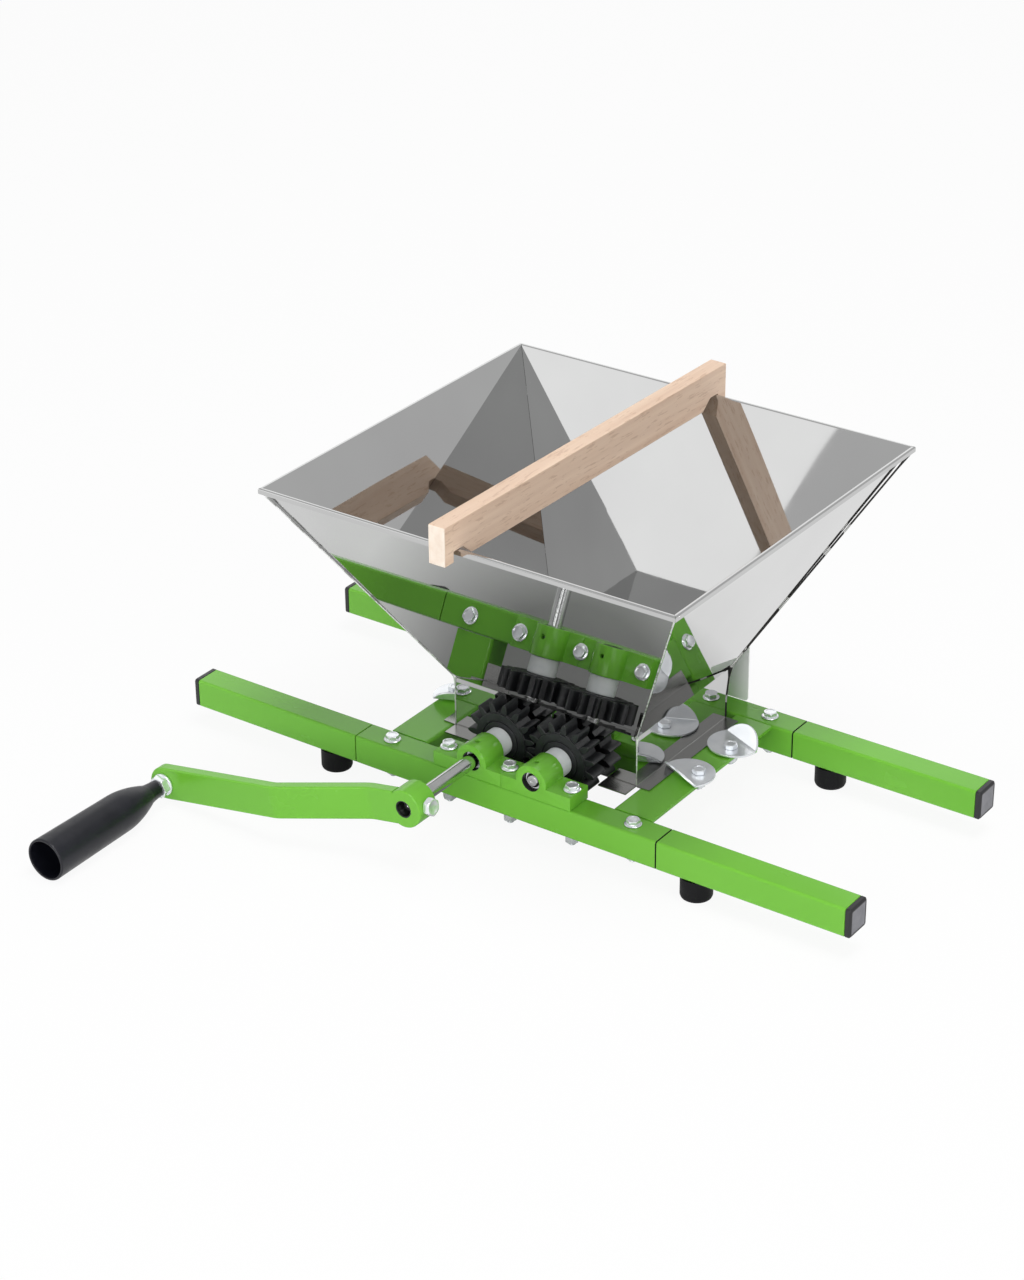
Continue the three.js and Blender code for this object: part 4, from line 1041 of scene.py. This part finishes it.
def stud_shell():
    """The grip's stud: rod, head inside the grip, washer and nut in front of the arm, nut behind it."""
    rear = ARM_FRONT + ARM_THICK
    rod = turned([(4.5, GRIP_REAR - 27.3), (5, GRIP_REAR - 26.8), (5, rear + 7), (4.4, rear + 7.3)])
    ring = [[5, -2.1], [9.5, -2.1], [9.5, -GAP], [5, -GAP]]
    washer = placed(turned(rounded(ring, 0.4, 3, closed=True), closed=True), (0, ARM_FRONT, 0))
    nut = [(5, 2.1), (8, 8.6, 2.1), (8, 9.2, 2.7), (8, 9.2, 8.2), (8, 8.7, 8.8), (7.9, 9.1), (5, 9.1)]
    front_nut = placed(hexed(nut, turn=0.26), (0, ARM_FRONT, 0), (math.pi / 2, 0, 0))
    back = [(5, 0.3), (7.8, 0.3), (8, 8.8, 0.7), (8, 9.2, 1.1), (8, 9.2, 4.7), (8, 8.7, 5.1), (7.9, 5.3),
            (5, 5.3)]
    back_nut = placed(hexed(back, turn=0.1), (0, rear, 0), (-math.pi / 2, 0, 0))
    head = turned([(r, GRIP_REAR - d) for r, d in ((5, 22.3), (8, 22.4), (8, 27.2), (5, 27.3))])
    return placed(joined(rod, washer, front_nut, back_nut, head), (-CRANK_R, 0, 0))


finished("grip_stud_and_nuts", on_crank(stud_shell()), ZINC, "handle_stud", body="drive_line")


def grip_shell():
    """The grip on the y axis: a widening neck, a creased shoulder whose radius swells with a sine, a
    slight flare to the open mouth with a rounded lip, then back up the bore."""
    share = np.linspace(0.03, 1, 15)
    shoulder = np.stack([8.5 + 8.1 * np.sin(share * np.pi / 2) ** 0.9, 12 + 36 * share], -1)
    neck = [[6.5, 0], [7, 0.3], [7.2, 0.8], [7.4, 4], [7.8, 8], [8.4, 11.4], [8.6, 12]]
    mouth = [[GRIP_MOUTH_R - 0.1, 128.8], [GRIP_MOUTH_R, 129.6], [17.8, 130.3], [17.5, 130.8],
             [17.1, GRIP_LENGTH]]
    inner = [[16.4, GRIP_LENGTH], [16, 130.8], [15.8, 130.2], [15.7, 129.5], [14.4, 58], [9, 22], [5.3, 22],
             [5.3, 0]]
    profile = np.concatenate([neck, shoulder, mouth, inner])
    return placed(turned(profile * [1, -1] + [0, GRIP_REAR], closed=True), (-CRANK_R, 0, 0))


finished("hollow_grip", on_crank(grip_shell()), GRIP_BLACK, "handle_grip", body="handle")


# Wooden bar
def bar_shell():
    """The bar's outline in y and z, notched over the rim at both ends and carried along x."""
    notch = RIM_Z + GAP
    low = notch - 9
    right = [[BAR_HALF - 33.5, low], [BAR_HALF - 23, notch], [BAR_HALF - 11.5, notch], [BAR_HALF - 11.5, low],
             [BAR_HALF, low], [BAR_HALF, BAR_TOP]]
    outline = np.array(right + [[-y, z] for y, z in right[::-1]])
    radii = [2, 0.4, 0.4, 1, 1, 1.2]
    outline = rounded(outline, radii + radii[::-1], 3, closed=True)
    return swapped(extruded(outline, -BAR_WIDTH / 2, BAR_WIDTH / 2, 0.7, 2), 1, 0, 2)


shell = placed(bar_shell(), (BAR_X, BAR_Y, 0), (0, 0, BAR_TURN))
finished("beech_rim_bar", shell, BEECH, "wooden_bar", body="bar")


# Floor, light and camera
def seen_by(tree, *kinds):
    """1 for a ray of one of the kinds, and 0 for any other ray."""
    path = node(tree, "LightPath").outputs
    share = path[f"Is {kinds[0]} Ray"]
    for kind in kinds[1:]:
        share = compute(tree, "MAXIMUM", share, path[f"Is {kind} Ray"])
    return share


def floor_material():
    """A pale floor that keeps the shadow: diffuse white, lifted towards plain white for the camera. The
    steel mirrors it as glowing paper with a painted shadow under the machine: it darkens from 0.25 m to
    0.11 m off a point near the middle."""
    material = bpy.data.materials.new("pale_floor")
    material.use_nodes = True
    tree = material.node_tree
    tree.nodes.clear()
    diffuse = node(tree, "BsdfDiffuse", {"Color": (0.88, 0.88, 0.88, 1)})
    white = node(tree, "Emission")
    share = compute(tree, "MULTIPLY", seen_by(tree, "Camera", "Transmission"), 0.92)
    shown = node(tree, "MixShader", {0: share, 1: diffuse.outputs[0], 2: white.outputs[0]})
    place = node(tree, "TexCoord").outputs["Object"]
    away = node(tree, "VectorMath", {0: place, 1: (-0.03, 0.06, 0)}, operation="DISTANCE").outputs["Value"]
    # Painted shadow under the machine, seen only in the steel's reflections
    rise = node(tree, "MapRange", {"Value": away, "From Min": 0.11, "From Max": 0.25, "To Min": 0.2})
    paper = node(tree, "Emission", {"Strength": rise.outputs[0]})
    glossy = compute(tree, "MULTIPLY", seen_by(tree, "Glossy"), 0.82)
    both = node(tree, "MixShader", {0: glossy, 1: shown.outputs[0], 2: paper.outputs[0]})
    node(tree, "OutputMaterial", {"Surface": both.outputs[0]})
    return material


# The floor's radius in metres, and its depth under the feet
FLOOR_R = 14
FLOOR_DEPTH = 0.0002
angle = circle(64)
disc = grid_of(FLOOR_R * np.cos(angle), FLOOR_R * np.sin(angle), -FLOOR_DEPTH)
floor_mesh = bpy.data.meshes.new("floor")
floor_mesh.from_pydata(disc.tolist(), [], [list(range(len(disc)))])
floor_mesh.materials.append(floor_material())
floor = linked("floor", floor_mesh)

world = bpy.data.worlds.new("studio")
bpy.context.scene.world = world
world.use_nodes = True
tree = world.node_tree
tree.nodes.clear()
seen = node(tree, "MapRange", {"Value": seen_by(tree, "Camera", "Glossy", "Transmission"), "To Min": 0.27})
strength = compute(tree, "ADD", seen.outputs[0], compute(tree, "MULTIPLY", seen_by(tree, "Glossy"), -0.36))
light = node(tree, "Background", {"Color": (1, 1, 1, 1), "Strength": strength})
node(tree, "OutputWorld", {"Surface": light.outputs[0]})


def lamp(name, at, target, size, power):
    """A soft lamp of a width and height that faces its target."""
    data = bpy.data.lights.new(name, "AREA")
    data.shape = "RECTANGLE"
    data.size, data.size_y = size
    data.energy = power
    made = linked(name, data)
    made.location = at
    made.rotation_euler = (Vector(target) - Vector(at)).to_track_quat("-Z", "Y").to_euler()


lamp("key_softbox", (0.5, -2.7, 0.85), (0, 0, 0.1), (2, 1.1), 35)
lamp("top_softbox", (0.6, 0, 3.1), (0, 0.1, 0), (1.4, 1.4), 52)
lamp("fill_softbox", (2.6, -0.8, 1.8), (0, 0, 0.1), (1.8, 1.8), 19)
lamp("low_left_softbox", (-2.24, -1.575, 1.15), (-0.1, 0.2, 0.2), (2.3, 1.6), 7.4)
lamp("rear_left_softbox", (-1.5, 2.3, 1.35), (0, 0.1, 0.1), (2.6, 1.5), 8)

# The focal length in pixels of the photograph, which is 1280 pixels high
FOCAL_PIXELS = 3108.14
camera_data = bpy.data.cameras.new("camera")
camera_data.lens = FOCAL_PIXELS * camera_data.sensor_width / 1280
camera_data.clip_end = 100
camera = linked("camera", camera_data)
camera.location = (1.2305, -1.7455, 1.2976)
tilt = Euler((math.radians(90 - 28), 0, math.radians(35.39))).to_matrix()
roll = Matrix.Rotation(math.radians(-0.52), 3, "Z")
camera.rotation_euler = (tilt @ roll).to_euler()
bpy.context.scene.camera = camera
bpy.context.scene.view_settings.view_transform = "Standard"
